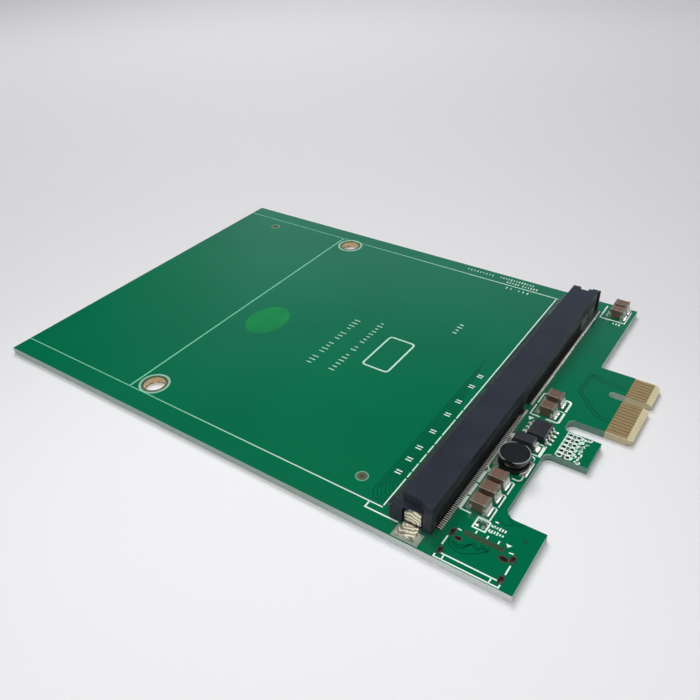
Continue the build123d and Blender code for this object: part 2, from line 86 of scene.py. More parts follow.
def islands(node):
    """Board-coordinate boxes of a node's separate solids, sorted along y and then x."""
    mesh = frame["nodes"][node].data
    parent = list(range(len(mesh.vertices)))

    def root(index):
        while parent[index] != index:
            parent[index] = parent[parent[index]]
            index = parent[index]
        return index

    places = {}
    for vertex in mesh.vertices:
        key = tuple(round(value, 7) for value in vertex.co)
        parent[vertex.index] = places.setdefault(key, vertex.index)
    for edge in mesh.edges:
        first, second = (root(index) for index in edge.vertices)
        parent[second] = first
    groups = {}
    for vertex in mesh.vertices:
        groups.setdefault(root(vertex.index), []).append(vertex.co)
    origin = board_point(0, 0, 0)
    boxes = []
    for points in groups.values():
        low = Vector([min(p[axis] for p in points) for axis in range(3)])
        high = Vector([max(p[axis] for p in points) for axis in range(3)])
        boxes.append(((low - origin) / MM, (high - origin) / MM))
    return sorted(boxes, key=lambda box: (round(box[0].y, 2), box[0].x))


# --- settings ---------------------------------------------------------------------------------

def tone(red, green, blue):
    """Linear colour from display values between 0 and 255."""
    values = []
    for value in (red, green, blue):
        share = value / 255
        values.append(share / 12.92 if share <= 0.04045 else ((share + 0.055) / 1.055) ** 2.4)
    return tuple(values)


def colour_setting(name, description, default):
    """Colour that a user can change."""
    return bpy.props.FloatVectorProperty(
        name=name, description=description, subtype="COLOR", size=3, min=0, max=1, default=default)


class RiserBoardSettings(bpy.types.PropertyGroup):
    mask_colour: colour_setting("Mask colour", "Green of the solder mask", tone(0, 105, 70))
    mask_roughness: bpy.props.FloatProperty(
        name="Mask roughness", description="Roughness of the solder mask", subtype="FACTOR",
        min=0, max=1, default=0.13)
    laminate_colour: colour_setting("Laminate colour", "Cut edge of the fibreglass", tone(164, 184, 172))
    bare_colour: colour_setting(
        "Bare colour", "Laminate without mask, at the tongue's tip", tone(200, 190, 154))
    print_colour: colour_setting("Print colour", "White component print", tone(224, 246, 235))
    print_height: bpy.props.FloatProperty(
        name="Print height", description="Thickness of the print above the mask, in millimetres",
        min=0.005, max=0.1, default=0.02)


class RiserMetalSettings(bpy.types.PropertyGroup):
    gold_colour: colour_setting("Gold colour", "Plating of the edge contacts", tone(176, 152, 108))
    copper_colour: colour_setting("Copper colour", "Tarnished bare copper", tone(92, 78, 66))
    contact_colour: colour_setting("Contact colour", "Plated contacts of the slot", tone(206, 202, 188))
    tin_colour: colour_setting("Tin colour", "Tinned sheet and terminals", tone(206, 204, 194))
    solder_colour: colour_setting("Solder colour", "Solder joints", tone(208, 208, 200))


class RiserPartSettings(bpy.types.PropertyGroup):
    housing_colour: colour_setting("Housing colour", "Moulding of the slot connector", tone(42, 47, 57))
    moulding_colour: colour_setting("Moulding colour", "Bodies of the chip and the diode", tone(34, 35, 38))
    ceramic_colour: colour_setting("Ceramic colour", "Bodies of the capacitors", tone(110, 86, 73))
    ferrite_colour: colour_setting("Ferrite colour", "Core of the inductor", tone(42, 43, 46))
    wire_colour: colour_setting("Wire colour", "Enamelled wire of the inductor", tone(44, 36, 30))
    wire_turns: bpy.props.IntProperty(
        name="Wire turns", description="Turns seen between the flanges", min=2, max=12, default=5)


class RiserStageSettings(bpy.types.PropertyGroup):
    floor_colour: colour_setting("Floor colour", "Pale floor under the card", (0.86, 0.855, 0.87))
    key_power: bpy.props.FloatProperty(
        name="Key light power", description="Power of the large soft light", subtype="POWER",
        unit="POWER", min=0, default=2.0)
    fill_power: bpy.props.FloatProperty(
        name="Fill light power", description="Power of the small light above the near side",
        subtype="POWER", unit="POWER", min=0, default=0.24)
    sky_level: bpy.props.FloatProperty(
        name="Sky level", description="Brightness of the surroundings for diffuse light",
        min=0, default=0.36)
    lens: bpy.props.FloatProperty(
        name="Lens", description="Focal length of the camera on a 36 mm sensor, in millimetres",
        min=10, default=37.447)


SETTINGS = {
    "riser_board": RiserBoardSettings,
    "riser_metal": RiserMetalSettings,
    "riser_parts": RiserPartSettings,
    "riser_stage": RiserStageSettings,
}


# --- mesh building ----------------------------------------------------------------------------

class Shape:
    """Mesh under construction, in board coordinates."""

    def __init__(self):
        self.points = []
        self.faces = []

    def add(self, points):
        """Adds points and returns their indices."""
        start = len(self.points)
        self.points += points
        return list(range(start, len(self.points)))

    def loft(self, loops, closed=True, cap=True):
        """Skins loops of equal length in order and closes the last one with a face."""
        rows = [self.add(loop) for loop in loops]
        count = len(rows[0])
        for low, high in zip(rows, rows[1:]):
            for index in range(count if closed else count - 1):
                after = (index + 1) % count
                self.faces.append((low[index], low[after], high[after], high[index]))
        if cap:
            self.faces.append(tuple(rows[-1]))
        return rows

    def prism(self, outline, bottom, top):
        """Upright prism without a floor, from a flat outline that runs anticlockwise."""
        self.loft([[(x, y, bottom) for x, y in outline], [(x, y, top) for x, y in outline]])

    def stroke(self, path, width, bottom, top, closed=False):
        """Flat line of one width along a path, mitred at its corners."""
        sections = []
        last = len(path) - 1
        for index, (x, y) in enumerate(path):
            before = path[index - 1] if closed or index > 0 else None
            after = path[(index + 1) % len(path)] if closed or index < last else None
            into = heading(before, (x, y)) if before else heading((x, y), after)
            out = heading((x, y), after) if after else into
            turn = (out - into + math.pi) % (2 * math.pi) - math.pi
            normal = into + turn / 2 + math.pi / 2
            reach = width / 2 / max(math.cos(turn / 2), 0.3)
            dx, dy = reach * math.cos(normal), reach * math.sin(normal)
            sections.append([
                (x + dx, y + dy, bottom),
                (x + dx, y + dy, top),
                (x - dx, y - dy, top),
                (x - dx, y - dy, bottom),
            ])
        if closed:
            sections.append(sections[0])
        rows = self.loft(sections, closed=False, cap=not closed)
        if not closed:
            self.faces.append(tuple(reversed(rows[0])))

    def ring(self, x, y, inner, outer, bottom, top, steps=48):
        """Flat ring round (x, y)."""
        loops = []
        for radius, z in ((outer, bottom), (outer, top), (inner, top), (inner, bottom)):
            loops.append(oval(x, y, radius, radius, z, steps))
        self.loft(loops, cap=False)

    def dome(self, x, y, reach_x, reach_y, height, bottom=0.0, square=2.0, steps=12, rows=4):
        """Rounded blob of solder. square above 2 fills the corners of its outline."""
        loops = []
        for row in range(rows):
            share = math.cos(math.pi / 2 * row / rows)
            z = bottom + height * math.sqrt(1 - share ** 2)
            loops.append([
                (x + reach_x * share * px, y + reach_y * share * py, z)
                for px, py in unit_oval(square, steps)
            ])
        self.loft(loops)

    def skirt(self, inner, outer, height, rise=2.2, rows=5, toe=0.03):
        """Concave solder fillet from the outer outline on the board up to the inner one."""
        loops = []
        for row in range(rows + 1):
            share = row / rows
            z = toe + (height - toe) * share ** rise
            loops.append([
                (ox + (ix - ox) * share, oy + (iy - oy) * share, z)
                for (ix, iy), (ox, oy) in zip(inner, outer)
            ])
        loops.insert(0, [(x, y, -0.02) for x, y in outer])
        self.loft(loops)

    def build(self, name, material, slot, sharp=35, jitter=0.0):
        """Turns the mesh into an object that rides with the card."""
        noise = random.Random(name)
        places = {}
        points = []
        for point in self.points:
            key = tuple(round(value, 4) for value in point)
            if key not in places:
                places[key] = [noise.uniform(-jitter, jitter) for _ in range(3)]
            shift = places[key] if point[2] > 0.04 else (0, 0, 0)
            points.append(board_point(*(value + push for value, push in zip(point, shift))))
        mesh = bpy.data.meshes.new(name)
        mesh.from_pydata(points, [], self.faces)
        mesh.update()
        mesh.polygons.foreach_set("use_smooth", [True] * len(mesh.polygons))
        mesh.set_sharp_from_angle(angle=math.radians(sharp))
        mesh.materials.append(material)
        obj = add_object(name, mesh)
        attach(obj, "root")
        return obj


def add_object(name, data):
    """New object in the scene."""
    made = bpy.data.objects.new(name, data)
    bpy.context.scene.collection.objects.link(made)
    return made


def heading(start, end):
    """Direction from one point to another, as an angle."""
    return math.atan2(end[1] - start[1], end[0] - start[0])


def unit_oval(square, steps):
    """Points of a superellipse of size 1, anticlockwise."""
    points = []
    for index in range(steps):
        angle = 2 * math.pi * (index + 0.5) / steps
        cosine, sine = math.cos(angle), math.sin(angle)
        scale = (abs(cosine) ** square + abs(sine) ** square) ** (-1 / square)
        points.append((cosine * scale, sine * scale))
    return points


def oval(x, y, reach_x, reach_y, z, steps):
    """Loop of points on an ellipse, anticlockwise."""
    angles = [2 * math.pi * index / steps for index in range(steps)]
    return [(x + reach_x * math.cos(a), y + reach_y * math.sin(a), z) for a in angles]


def flat_oval(x, y, reach_x, reach_y, steps):
    """Outline of an ellipse, for a prism."""
    return [(px, py) for px, py, _ in oval(x, y, reach_x, reach_y, 0, steps)]


def rounded(x_start, x_end, y_start, y_end, radius, steps=3):
    """Outline of a rectangle with rounded corners, anticlockwise."""
    corners = [
        (x_end - radius, y_end - radius, 0),
        (x_start + radius, y_end - radius, 90),
        (x_start + radius, y_start + radius, 180),
        (x_end - radius, y_start + radius, 270),
    ]
    outline = []
    for x, y, start in corners:
        for step in range(steps + 1):
            angle = math.radians(start + 90 * step / steps)
            outline.append((x + radius * math.cos(angle), y + radius * math.sin(angle)))
    return outline


# --- material building ------------------------------------------------------------------------

def node(tree, kind, inputs=None, **settings):
    """New node with its settings and with its inputs set or linked."""
    made = tree.nodes.new(kind)
    for name, value in settings.items():
        setattr(made, name, value)
    for key, value in (inputs or {}).items():
        if isinstance(value, bpy.types.NodeSocket):
            tree.links.new(value, made.inputs[key])
        else:
            made.inputs[key].default_value = value
    return made


def maths(tree, operation, *values):
    """Result of a maths node."""
    return node(tree, "ShaderNodeMath", dict(enumerate(values)), operation=operation).outputs[0]


def times(tree, first, second):
    """Product of two values."""
    return maths(tree, "MULTIPLY", first, second)


def vector_maths(tree, operation, first, second):
    """Result of a vector maths node, as its outputs."""
    return node(tree, "ShaderNodeVectorMath", {0: first, 1: second}, operation=operation).outputs


def dimmed(tree, colour, share):
    """Colour scaled by a value that changes over the surface."""
    return node(tree, "ShaderNodeVectorMath", {0: colour, "Scale": share}, operation="SCALE").outputs[0]


def parts_of(tree, vector):
    """The x, y and z of a vector."""
    return node(tree, "ShaderNodeSeparateXYZ", {0: vector}).outputs


def blend(tree, factor, first, second, mode="MIX"):
    """Colour between two colours."""
    made = node(tree, "ShaderNodeMix", data_type="RGBA", blend_type=mode, clamp_factor=True)
    for key, value in ((0, factor), (6, first), (7, second)):
        if isinstance(value, bpy.types.NodeSocket):
            tree.links.new(value, made.inputs[key])
        elif key == 0:
            made.inputs[key].default_value = value
        else:
            made.inputs[key].default_value = (*value[:3], 1)
    return made.outputs[2]


def spread(tree, value, from_low, from_high, to_low, to_high):
    """Value moved from one range to another, clamped."""
    made = node(tree, "ShaderNodeMapRange", {
        "Value": value, "From Min": from_low, "From Max": from_high, "To Min": to_low, "To Max": to_high,
    })
    return made.outputs[0]


def shader_group(name, inputs, outputs, fill):
    """Node group used by several materials, made once. inputs: (name, type, default)."""
    if name in bpy.data.node_groups:
        return bpy.data.node_groups[name]
    tree = bpy.data.node_groups.new(name, "ShaderNodeTree")
    for socket, kind, default in inputs:
        made = tree.interface.new_socket(name=socket, in_out="INPUT", socket_type=kind)
        made.default_value = default
    for socket, kind in outputs:
        tree.interface.new_socket(name=socket, in_out="OUTPUT", socket_type=kind)
    entry = tree.nodes.new("NodeGroupInput")
    leave = tree.nodes.new("NodeGroupOutput")
    for socket, value in fill(tree, entry.outputs).items():
        tree.links.new(value, leave.inputs[socket])
    return tree


def use_group(tree, group, **inputs):
    """Places a group in a material and returns its outputs."""
    made = tree.nodes.new("ShaderNodeGroup")
    made.node_tree = group
    for name, value in inputs.items():
        made.inputs[name].default_value = value
    return made.outputs


def position(tree):
    """Object-space position, in millimetres."""
    place = node(tree, "ShaderNodeTexCoord").outputs["Object"]
    return vector_maths(tree, "MULTIPLY", place, (1000, 1000, 1000))[0]


def board_position(tree):
    """Position in board coordinates, in millimetres."""
    return vector_maths(tree, "SUBTRACT", position(tree), board_point(0, 0, 0) / MM)[0]


def surface_normal(tree):
    """The x, y and z of the surface's normal."""
    return parts_of(tree, node(tree, "ShaderNodeTexCoord").outputs["Normal"])


def grain_group():
    """Fine grain: Value for colour and roughness, Height for bump."""
    def fill(tree, entry):
        place = position(tree)
        fine = node(tree, "ShaderNodeTexNoise", {
            "Vector": place, "Scale": entry["Scale"], "Detail": 6.0, "Roughness": 0.65})
        broad_scale = times(tree, entry["Scale"], 0.07)
        broad = node(tree, "ShaderNodeTexNoise", {"Vector": place, "Scale": broad_scale, "Detail": 3.0})
        value = maths(tree, "ADD", times(tree, fine.outputs[0], 0.45),
                      times(tree, broad.outputs[0], 0.55))
        return {"Value": value, "Height": fine.outputs[0], "Broad": broad.outputs[0]}
    return shader_group("riser_grain", [("Scale", "NodeSocketFloat", 1.0)],
                        [("Value", "NodeSocketFloat"), ("Height", "NodeSocketFloat"),
                         ("Broad", "NodeSocketFloat")], fill)


def lumps_group():
    """Uneven flow of solder and tin: Shade for colour, Height for bump."""
    def fill(tree, entry):
        place = position(tree)
        flow = node(tree, "ShaderNodeTexNoise", {
            "Vector": place, "Scale": entry["Scale"], "Detail": 2.5, "Distortion": 1.6})
        pits = node(tree, "ShaderNodeTexVoronoi", {
            "Vector": place, "Scale": times(tree, entry["Scale"], 1.7)},
            feature="SMOOTH_F1")
        height = maths(tree, "SUBTRACT", flow.outputs[0], times(tree, pits.outputs[0], 0.35))
        return {"Shade": flow.outputs[0], "Height": height}
    return shader_group("riser_lumps", [("Scale", "NodeSocketFloat", 1.0)],
                        [("Shade", "NodeSocketFloat"), ("Height", "NodeSocketFloat")], fill)


def mask_group():
    """Solder mask: Colour with faint unevenness and Height of its orange peel."""
    def fill(tree, entry):
        place = position(tree)
        cloud = node(tree, "ShaderNodeTexNoise", {"Vector": place, "Scale": 0.035, "Detail": 2.0})
        peel = node(tree, "ShaderNodeTexNoise", {"Vector": place, "Scale": 0.9, "Detail": 2.0})
        weave = node(tree, "ShaderNodeTexNoise", {"Vector": place, "Scale": 4.0, "Detail": 3.0})
        share = spread(tree, cloud.outputs[0], 0.3, 0.7, 0.94, 1.06)
        height = maths(tree, "ADD", times(tree, peel.outputs[0], 0.8),
                       times(tree, weave.outputs[0], 0.2))
        return {"Colour": dimmed(tree, entry["Colour"], share), "Height": height}
    return shader_group("riser_mask", [("Colour", "NodeSocketColor", (0, 0.14, 0.06, 1))],
                        [("Colour", "NodeSocketColor"), ("Height", "NodeSocketFloat")], fill)


def edge_group():
    """Rounded edges of square-cut pieces: Mask is 1 where the surface turns from one side to the next."""
    def fill(tree, entry):
        facing = node(tree, "ShaderNodeVectorMath", {0: node(tree, "ShaderNodeTexCoord").outputs["Normal"]},
                      operation="ABSOLUTE")
        x, y, z = parts_of(tree, facing.outputs[0])
        most = maths(tree, "MAXIMUM", maths(tree, "MAXIMUM", x, y), z)
        return {"Mask": spread(tree, most, 0.97, 0.86, 0, 1)}
    return shader_group("riser_edge", [], [("Mask", "NodeSocketFloat")], fill)


def new_material(name):
    """Material with an empty node tree."""
    made = bpy.data.materials.new(name)
    made.use_nodes = True
    made.node_tree.nodes.clear()
    return made, made.node_tree


def finish_material(tree, inputs, height=None, strength=0.2, distance=0.05):
    """Principled shader and output, with an optional bump in millimetres."""
    if height is not None:
        bump = node(tree, "ShaderNodeBump", {
            "Strength": strength, "Distance": distance * MM, "Height": height})
        inputs = {**inputs, "Normal": bump.outputs[0]}
    shader = node(tree, "ShaderNodeBsdfPrincipled", inputs)
    node(tree, "ShaderNodeOutputMaterial", {"Surface": shader.outputs[0]})


def rgba(colour):
    """Colour with full alpha, for a socket."""
    return (*colour, 1)


def scaled_colour(colour, share):
    """Colour made lighter or darker."""
    return tuple(min(value * share, 1) for value in colour)


def cached(maker):
    """Makes each material once."""
    made = {}

    def wrapper():
        if maker.__name__ not in made:
            made[maker.__name__] = maker()
        return made[maker.__name__]
    wrapper.__doc__ = maker.__doc__
    return wrapper


MetalFinish = namedtuple(
    "MetalFinish", "roughness lump_scale shade bump bump_depth metallic edge", defaults=(0.0,))
METAL_FINISHES = {
    "gold": MetalFinish(0.34, 1.2, 0.14, 0.08, 0.02, 0.35),
    "copper": MetalFinish(0.36, 2.4, 0.5, 0.4, 0.06, 0.35),
    "flux_solder": MetalFinish(0.34, 2.4, 0.5, 0.4, 0.06, 0.3),
    "shade_painted_contact": MetalFinish(0.3, 3.0, 0.3, 0.15, 0.02, 0.3),
    "tin": MetalFinish(0.26, 1.6, 0.35, 0.3, 0.06, 0.7),
    "end_band": MetalFinish(0.3, 1.3, 0.3, 0.3, 0.05, 0.4, 0.75),
    "solder": MetalFinish(0.2, 1.1, 0.6, 0.6, 0.14, 0.65),
    "foot_solder": MetalFinish(0.24, 2.0, 0.1, 0.2, 0.05, 0.35),
    "pad_tin": MetalFinish(0.3, 0.9, 0.16, 0.2, 0.05, 0.3),
}
# Colour of the painted highlight on rounded edges.
EDGE_HIGHLIGHT = (0.8, 0.78, 0.74)


def highlight_edges(tree, base, amount):
    """Colour with its rounded edges lightened by an amount, or as it is for 0."""
    if not amount:
        return base
    return blend(tree, times(tree, use_group(tree, edge_group())["Mask"], amount), base, EDGE_HIGHLIGHT)


def metal_material(name, colour):
    """Metal with uneven tone, polish and surface, and lighter rounded edges where its finish has edge."""
    finish = METAL_FINISHES[name]
    material, tree = new_material(name)
    lumps = use_group(tree, lumps_group(), Scale=finish.lump_scale)
    grain = use_group(tree, grain_group(), Scale=finish.lump_scale * 6)
    mix = maths(tree, "ADD", times(tree, lumps["Shade"], 0.7), times(tree, grain["Height"], 0.3))
    base = blend(tree, spread(tree, mix, 0.35, 0.65, 0, 1), scaled_colour(colour, 1 - finish.shade),
                 scaled_colour(colour, 1 + finish.shade * 0.4))
    base = highlight_edges(tree, base, finish.edge)
    rough = spread(tree, grain["Value"], 0.3, 0.7, finish.roughness * 0.75, finish.roughness * 1.3)
    finish_material(tree, {"Base Color": base, "Roughness": rough, "Metallic": finish.metallic},
                    lumps["Height"], finish.bump, finish.bump_depth)
    return material


def plastic_material(name, colour, roughness, scale, bump, variation, edge, rear=1.0, specular=0.5):
    """Moulded plastic or ceramic with fine grain. edge lightens its rounded edges. rear darkens the faces
    that look towards the tongue by painting them, so they stay dark under any light."""
    material, tree = new_material(name)
    grain = use_group(tree, grain_group(), Scale=scale)
    factor = spread(tree, grain["Value"], 0.35, 0.65, 0, 1)
    base = blend(tree, factor, scaled_colour(colour, 1 - variation), scaled_colour(colour, 1 + variation))
    base = highlight_edges(tree, base, edge)
    # Painted shade on the faces that look towards the tongue.
    if rear != 1:
        base = dimmed(tree, base, spread(tree, surface_normal(tree)[0], 0.6, 0.8, 1, rear))
    rough = spread(tree, grain["Broad"], 0.3, 0.7, roughness * 0.85, roughness * 1.15)
    finish_material(tree, {"Base Color": base, "Roughness": rough, "Specular IOR Level": specular},
                    grain["Height"], bump, 0.02)
    return material


def settings(name):
    """Settings of one group of pieces."""
    return getattr(bpy.context.scene, name)


@cached
def gold_material():
    """Gold plating of the edge contacts."""
    return metal_material("gold", settings("riser_metal").gold_colour)


@cached
def copper_material():
    """Tarnished bare copper with a thin coat of flux."""
    return metal_material("copper", settings("riser_metal").copper_colour)


@cached
def flux_material():
    """Soldered pads under dried flux."""
    return metal_material("flux_solder", tone(128, 112, 106))


@cached
def shade_painted_contact_material():
    """Contacts of the slot, painted much darker than the metal, in place of shade under the moulding."""
    colour = scaled_colour(settings("riser_metal").contact_colour, 0.15)
    colour = (colour[0] * 0.7, colour[1], colour[2])
    return metal_material("shade_painted_contact", colour)


CONTACT_PITCH = 0.5


@cached
def lead_material():
    """Contacts painted dark on the wall of the moulding, and bright by place on their feet."""
    metal = settings("riser_metal")
    material, tree = new_material("contact_leads")
    x, y, z = parts_of(tree, board_position(tree))
    grain = use_group(tree, grain_group(), Scale=3.0)
    toe = max(high.x for _, high in islands("upper_signal_contacts"))
    far = maths(tree, "GREATER_THAN", y, FIELD_SPLIT)
    start = spread(tree, far, 0, 1, toe - 0.75, toe - 0.35)
    foot = times(tree, maths(tree, "GREATER_THAN", x, start), spread(tree, z, 0.35, 0.5, 1, 0))
    first_low, first_high = islands("upper_signal_contacts")[0]
    count = maths(tree, "DIVIDE", maths(tree, "SUBTRACT", y, (first_low.y + first_high.y) / 2),
                  CONTACT_PITCH)
    off_centre = maths(tree, "ABSOLUTE", maths(tree, "SUBTRACT", count, maths(tree, "ROUND", count)))
    foot = times(tree, foot, spread(tree, off_centre, 0.16, 0.24, 1, 0))
    base = blend(tree, foot, scaled_colour(metal.contact_colour, 0.07),
                 scaled_colour(metal.solder_colour, 1.5))
    finish_material(tree, {"Base Color": base, "Roughness": 0.24, "Metallic": 0.35},
                    grain["Height"], 0.15, 0.02)
    return material


@cached
def tin_material():
    """Tinned terminals."""
    return metal_material("tin", settings("riser_metal").tin_colour)


@cached
def end_material():
    """Fired and tinned end bands of the capacitors."""
    return metal_material("end_band", tone(140, 130, 114))


@cached
def solder_material():
    """Solder joints."""
    return metal_material("solder", settings("riser_metal").solder_colour)


@cached
def foot_solder_material():
    """Fine bright solder joints at the feet of contacts and leads."""
    colour = scaled_colour(settings("riser_metal").solder_colour, 1.45)
    return metal_material("foot_solder", colour)


@cached
def pad_material():
    """Tinned pads, dull with flux."""
    return metal_material("pad_tin", tone(160, 168, 156))


@cached
def clip_material():
    """Tinned sheet with broad swirls of solder. A dark line is painted along its fold, in place of shade."""
    colour = settings("riser_metal").tin_colour
    material, tree = new_material("clip_sheet")
    clips = islands("hold_down_clips")
    middle = sum(low.y + high.y for low, high in clips) / 4
    near_low, near_high = clips[0]
    x, y, z = parts_of(tree, board_position(tree))
    across = maths(tree, "ABSOLUTE", maths(tree, "SUBTRACT", y, middle))
    across = maths(tree, "SUBTRACT", across, middle - near_high.y)
    along = maths(tree, "SUBTRACT", x, (near_low.x + near_high.x) / 2 - 0.4)
    height = maths(tree, "SUBTRACT", z, 0.4)
    place = node(tree, "ShaderNodeCombineXYZ", {0: along, 1: across, 2: height}).outputs[0]
    swirl = node(tree, "ShaderNodeTexWave", {
        "Vector": place, "Scale": 0.34, "Distortion": 12.0, "Detail": 2.0, "Detail Scale": 1.1},
        wave_type="RINGS", rings_direction="SPHERICAL")
    section = node(tree, "ShaderNodeCombineXYZ", {1: across, 2: height}).outputs[0]
    corner = vector_maths(tree, "DISTANCE", section, (0, 0.36, 0))["Value"]
    fold = spread(tree, corner, 0.16, 0.36, 0.08, 1)
    grain = use_group(tree, grain_group(), Scale=6.0)
    warm = (colour[0], colour[1] * 0.97, colour[2] * 0.88)
    base = blend(tree, spread(tree, swirl.outputs[1], 0.12, 0.7, 0, 1),
                 scaled_colour(warm, 0.42), scaled_colour(warm, 1.45))
    base = dimmed(tree, base, fold)
    rough = spread(tree, grain["Value"], 0.3, 0.7, 0.2, 0.34)
    finish_material(tree, {"Base Color": base, "Roughness": rough, "Metallic": 0.35},
                    swirl.outputs[1], 0.5, 0.07)
    return material


# The print turns greener from the second x to the first.
THIN_PRINT_END, THIN_PRINT_START = 45, 100


@cached
def print_material():
    """White print, painted greener by place as it runs away from the connector."""
    colour = settings("riser_board").print_colour
    material, tree = new_material("print")
    grain = use_group(tree, grain_group(), Scale=5.0)
    x = parts_of(tree, board_position(tree))[0]
    base = blend(tree, grain["Value"], scaled_colour(colour, 0.95), scaled_colour(colour, 1.05))
    thin = spread(tree, x, THIN_PRINT_END, THIN_PRINT_START, 0.88, 0)
    base = blend(tree, thin, base, tone(84, 178, 142))
    rough = spread(tree, grain["Broad"], 0.3, 0.7, 0.5, 0.7)
    finish_material(tree, {"Base Color": base, "Roughness": rough}, grain["Height"], 0.2, 0.02)
    return material


@cached
def housing_material():
    """Blue-black moulding with a faint grain. Its rear is painted darker, in place of shade in the comb."""
    return plastic_material("housing", settings("riser_parts").housing_colour, roughness=0.4, scale=3.5,
                            bump=0.25, variation=0.12, edge=0.05, rear=0.3, specular=0.22)


@cached
def moulding_material():
    """Black moulding compound."""
    colour = scaled_colour(settings("riser_parts").moulding_colour, 1.5)
    return plastic_material("moulding", colour, roughness=0.4, scale=6.0, bump=0.3, variation=0.15, edge=0.06)


# Width, height and strength of the painted highlight round the inductor's top flange.
RIM_WIDTH, RIM_HEIGHT, RIM_HIGHLIGHT = 0.17, 0.12, 0.45


@cached
def ferrite_material():
    """Dark ferrite, with an even lighter rim painted all round its top flange."""
    material, tree = new_material("ferrite")
    grain = use_group(tree, grain_group(), Scale=5.0)
    colour = scaled_colour(settings("riser_parts").ferrite_colour, 0.6)
    core_low, core_high = board_box("inductor_core")
    centre = (core_low + core_high) / 2
    x, y, z = parts_of(tree, vector_maths(tree, "SUBTRACT", board_position(tree), (centre.x, centre.y, 0))[0])
    away = maths(tree, "SQRT", maths(tree, "ADD", maths(tree, "POWER", x, 2), maths(tree, "POWER", y, 2)))
    radius = core_high.x - centre.x
    rim = times(tree, maths(tree, "GREATER_THAN", away, radius - RIM_WIDTH),
                maths(tree, "GREATER_THAN", z, core_high.z - RIM_HEIGHT))
    rim = times(tree, rim, RIM_HIGHLIGHT)
    base = blend(tree, grain["Value"], scaled_colour(colour, 0.8), scaled_colour(colour, 1.2))
    base = blend(tree, rim, base, (0.62, 0.62, 0.64))
    finish_material(tree, {"Base Color": base, "Roughness": 0.26}, grain["Height"], 0.15, 0.05)
    return material


@cached
def ceramic_material():
    """Brown ceramic of the capacitors."""
    return plastic_material("ceramic", settings("riser_parts").ceramic_colour, roughness=0.3, scale=1.6,
                            bump=0.2, variation=0.16, edge=0.6)


@cached
def wire_material():
    """Enamelled wire."""
    material, tree = new_material("wire")
    grain = use_group(tree, grain_group(), Scale=4.0)
    colour = settings("riser_parts").wire_colour
    base = blend(tree, grain["Value"], scaled_colour(colour, 0.6), scaled_colour(colour, 1.3))
    finish_material(tree, {"Base Color": base, "Roughness": 0.3, "Metallic": 0.3},
                    grain["Height"], 0.1, 0.02)
    return material


@cached
def track_material():
    """Mask over copper tracks: darker green than the field."""
    material, tree = new_material("track")
    colour = settings("riser_board").mask_colour
    mask = use_group(tree, mask_group(), Colour=rgba(scaled_colour(colour, 0.55)))
    finish_material(tree, {
        "Base Color": mask["Colour"], "Roughness": settings("riser_board").mask_roughness,
    }, mask["Height"], 0.1, 0.03)
    return material


@cached
def stamp_material():
    """Soft light green of the inspection stamp."""
    material, tree = new_material("stamp")
    grain = use_group(tree, grain_group(), Scale=2.2)
    mask = use_group(tree, mask_group(), Colour=rgba(tone(4, 138, 66)))
    base = blend(tree, spread(tree, grain["Value"], 0.35, 0.62, 0, 1), tone(0, 112, 58), mask["Colour"])
    finish_material(tree, {"Base Color": base, "Roughness": 0.25}, mask["Height"], 0.1, 0.03)
    return material


@cached
def painted_shade_material():
    """Dark laminate in small gaps and holes."""
    material, tree = new_material("painted_shade_gap")
    grain = use_group(tree, grain_group(), Scale=3.0)
    base = blend(tree, grain["Value"], tone(1, 4, 3), tone(6, 12, 10))
    finish_material(tree, {"Base Color": base, "Roughness": 0.5}, grain["Height"], 0.2, 0.02)
    return material


@cached
def ring_material():
    """Pale mint rings in the mask round holes and fiducials."""
    material, tree = new_material("mask_ring")
    grain = use_group(tree, grain_group(), Scale=3.0)
    base = blend(tree, grain["Value"], tone(120, 172, 148), tone(160, 204, 180))
    finish_material(tree, {"Base Color": base, "Roughness": 0.35}, grain["Height"], 0.2, 0.02)
    return material


@cached
def bare_material():
    """Laminate seen through an opening in the mask."""
    material, tree = new_material("bare")
    grain = use_group(tree, grain_group(), Scale=2.0)
    base = blend(tree, spread(tree, grain["Value"], 0.35, 0.65, 0, 1), tone(58, 84, 58), tone(96, 106, 76))
    finish_material(tree, {"Base Color": base, "Roughness": 0.4}, grain["Height"], 0.3, 0.03)
    return material


LEG_SLOTS = [(114.1, 2.0), (114.1, 6.6), (125.15, 2.0), (125.15, 6.6)]


def inside_box(tree, place, low, high):
    """1 inside a flat box, given in board coordinates."""
    first, last = board_point(*low, 0) / MM, board_point(*high, 0) / MM
    inside = 1.0
    for axis in range(2):
        middle = (first[axis] + last[axis]) / 2
        near = maths(tree, "COMPARE", place[axis], middle, (last[axis] - first[axis]) / 2)
        inside = times(tree, inside, near)
    return inside


# Cut-outs beside the tongue start at this x.
CUT_START_X = 118.6


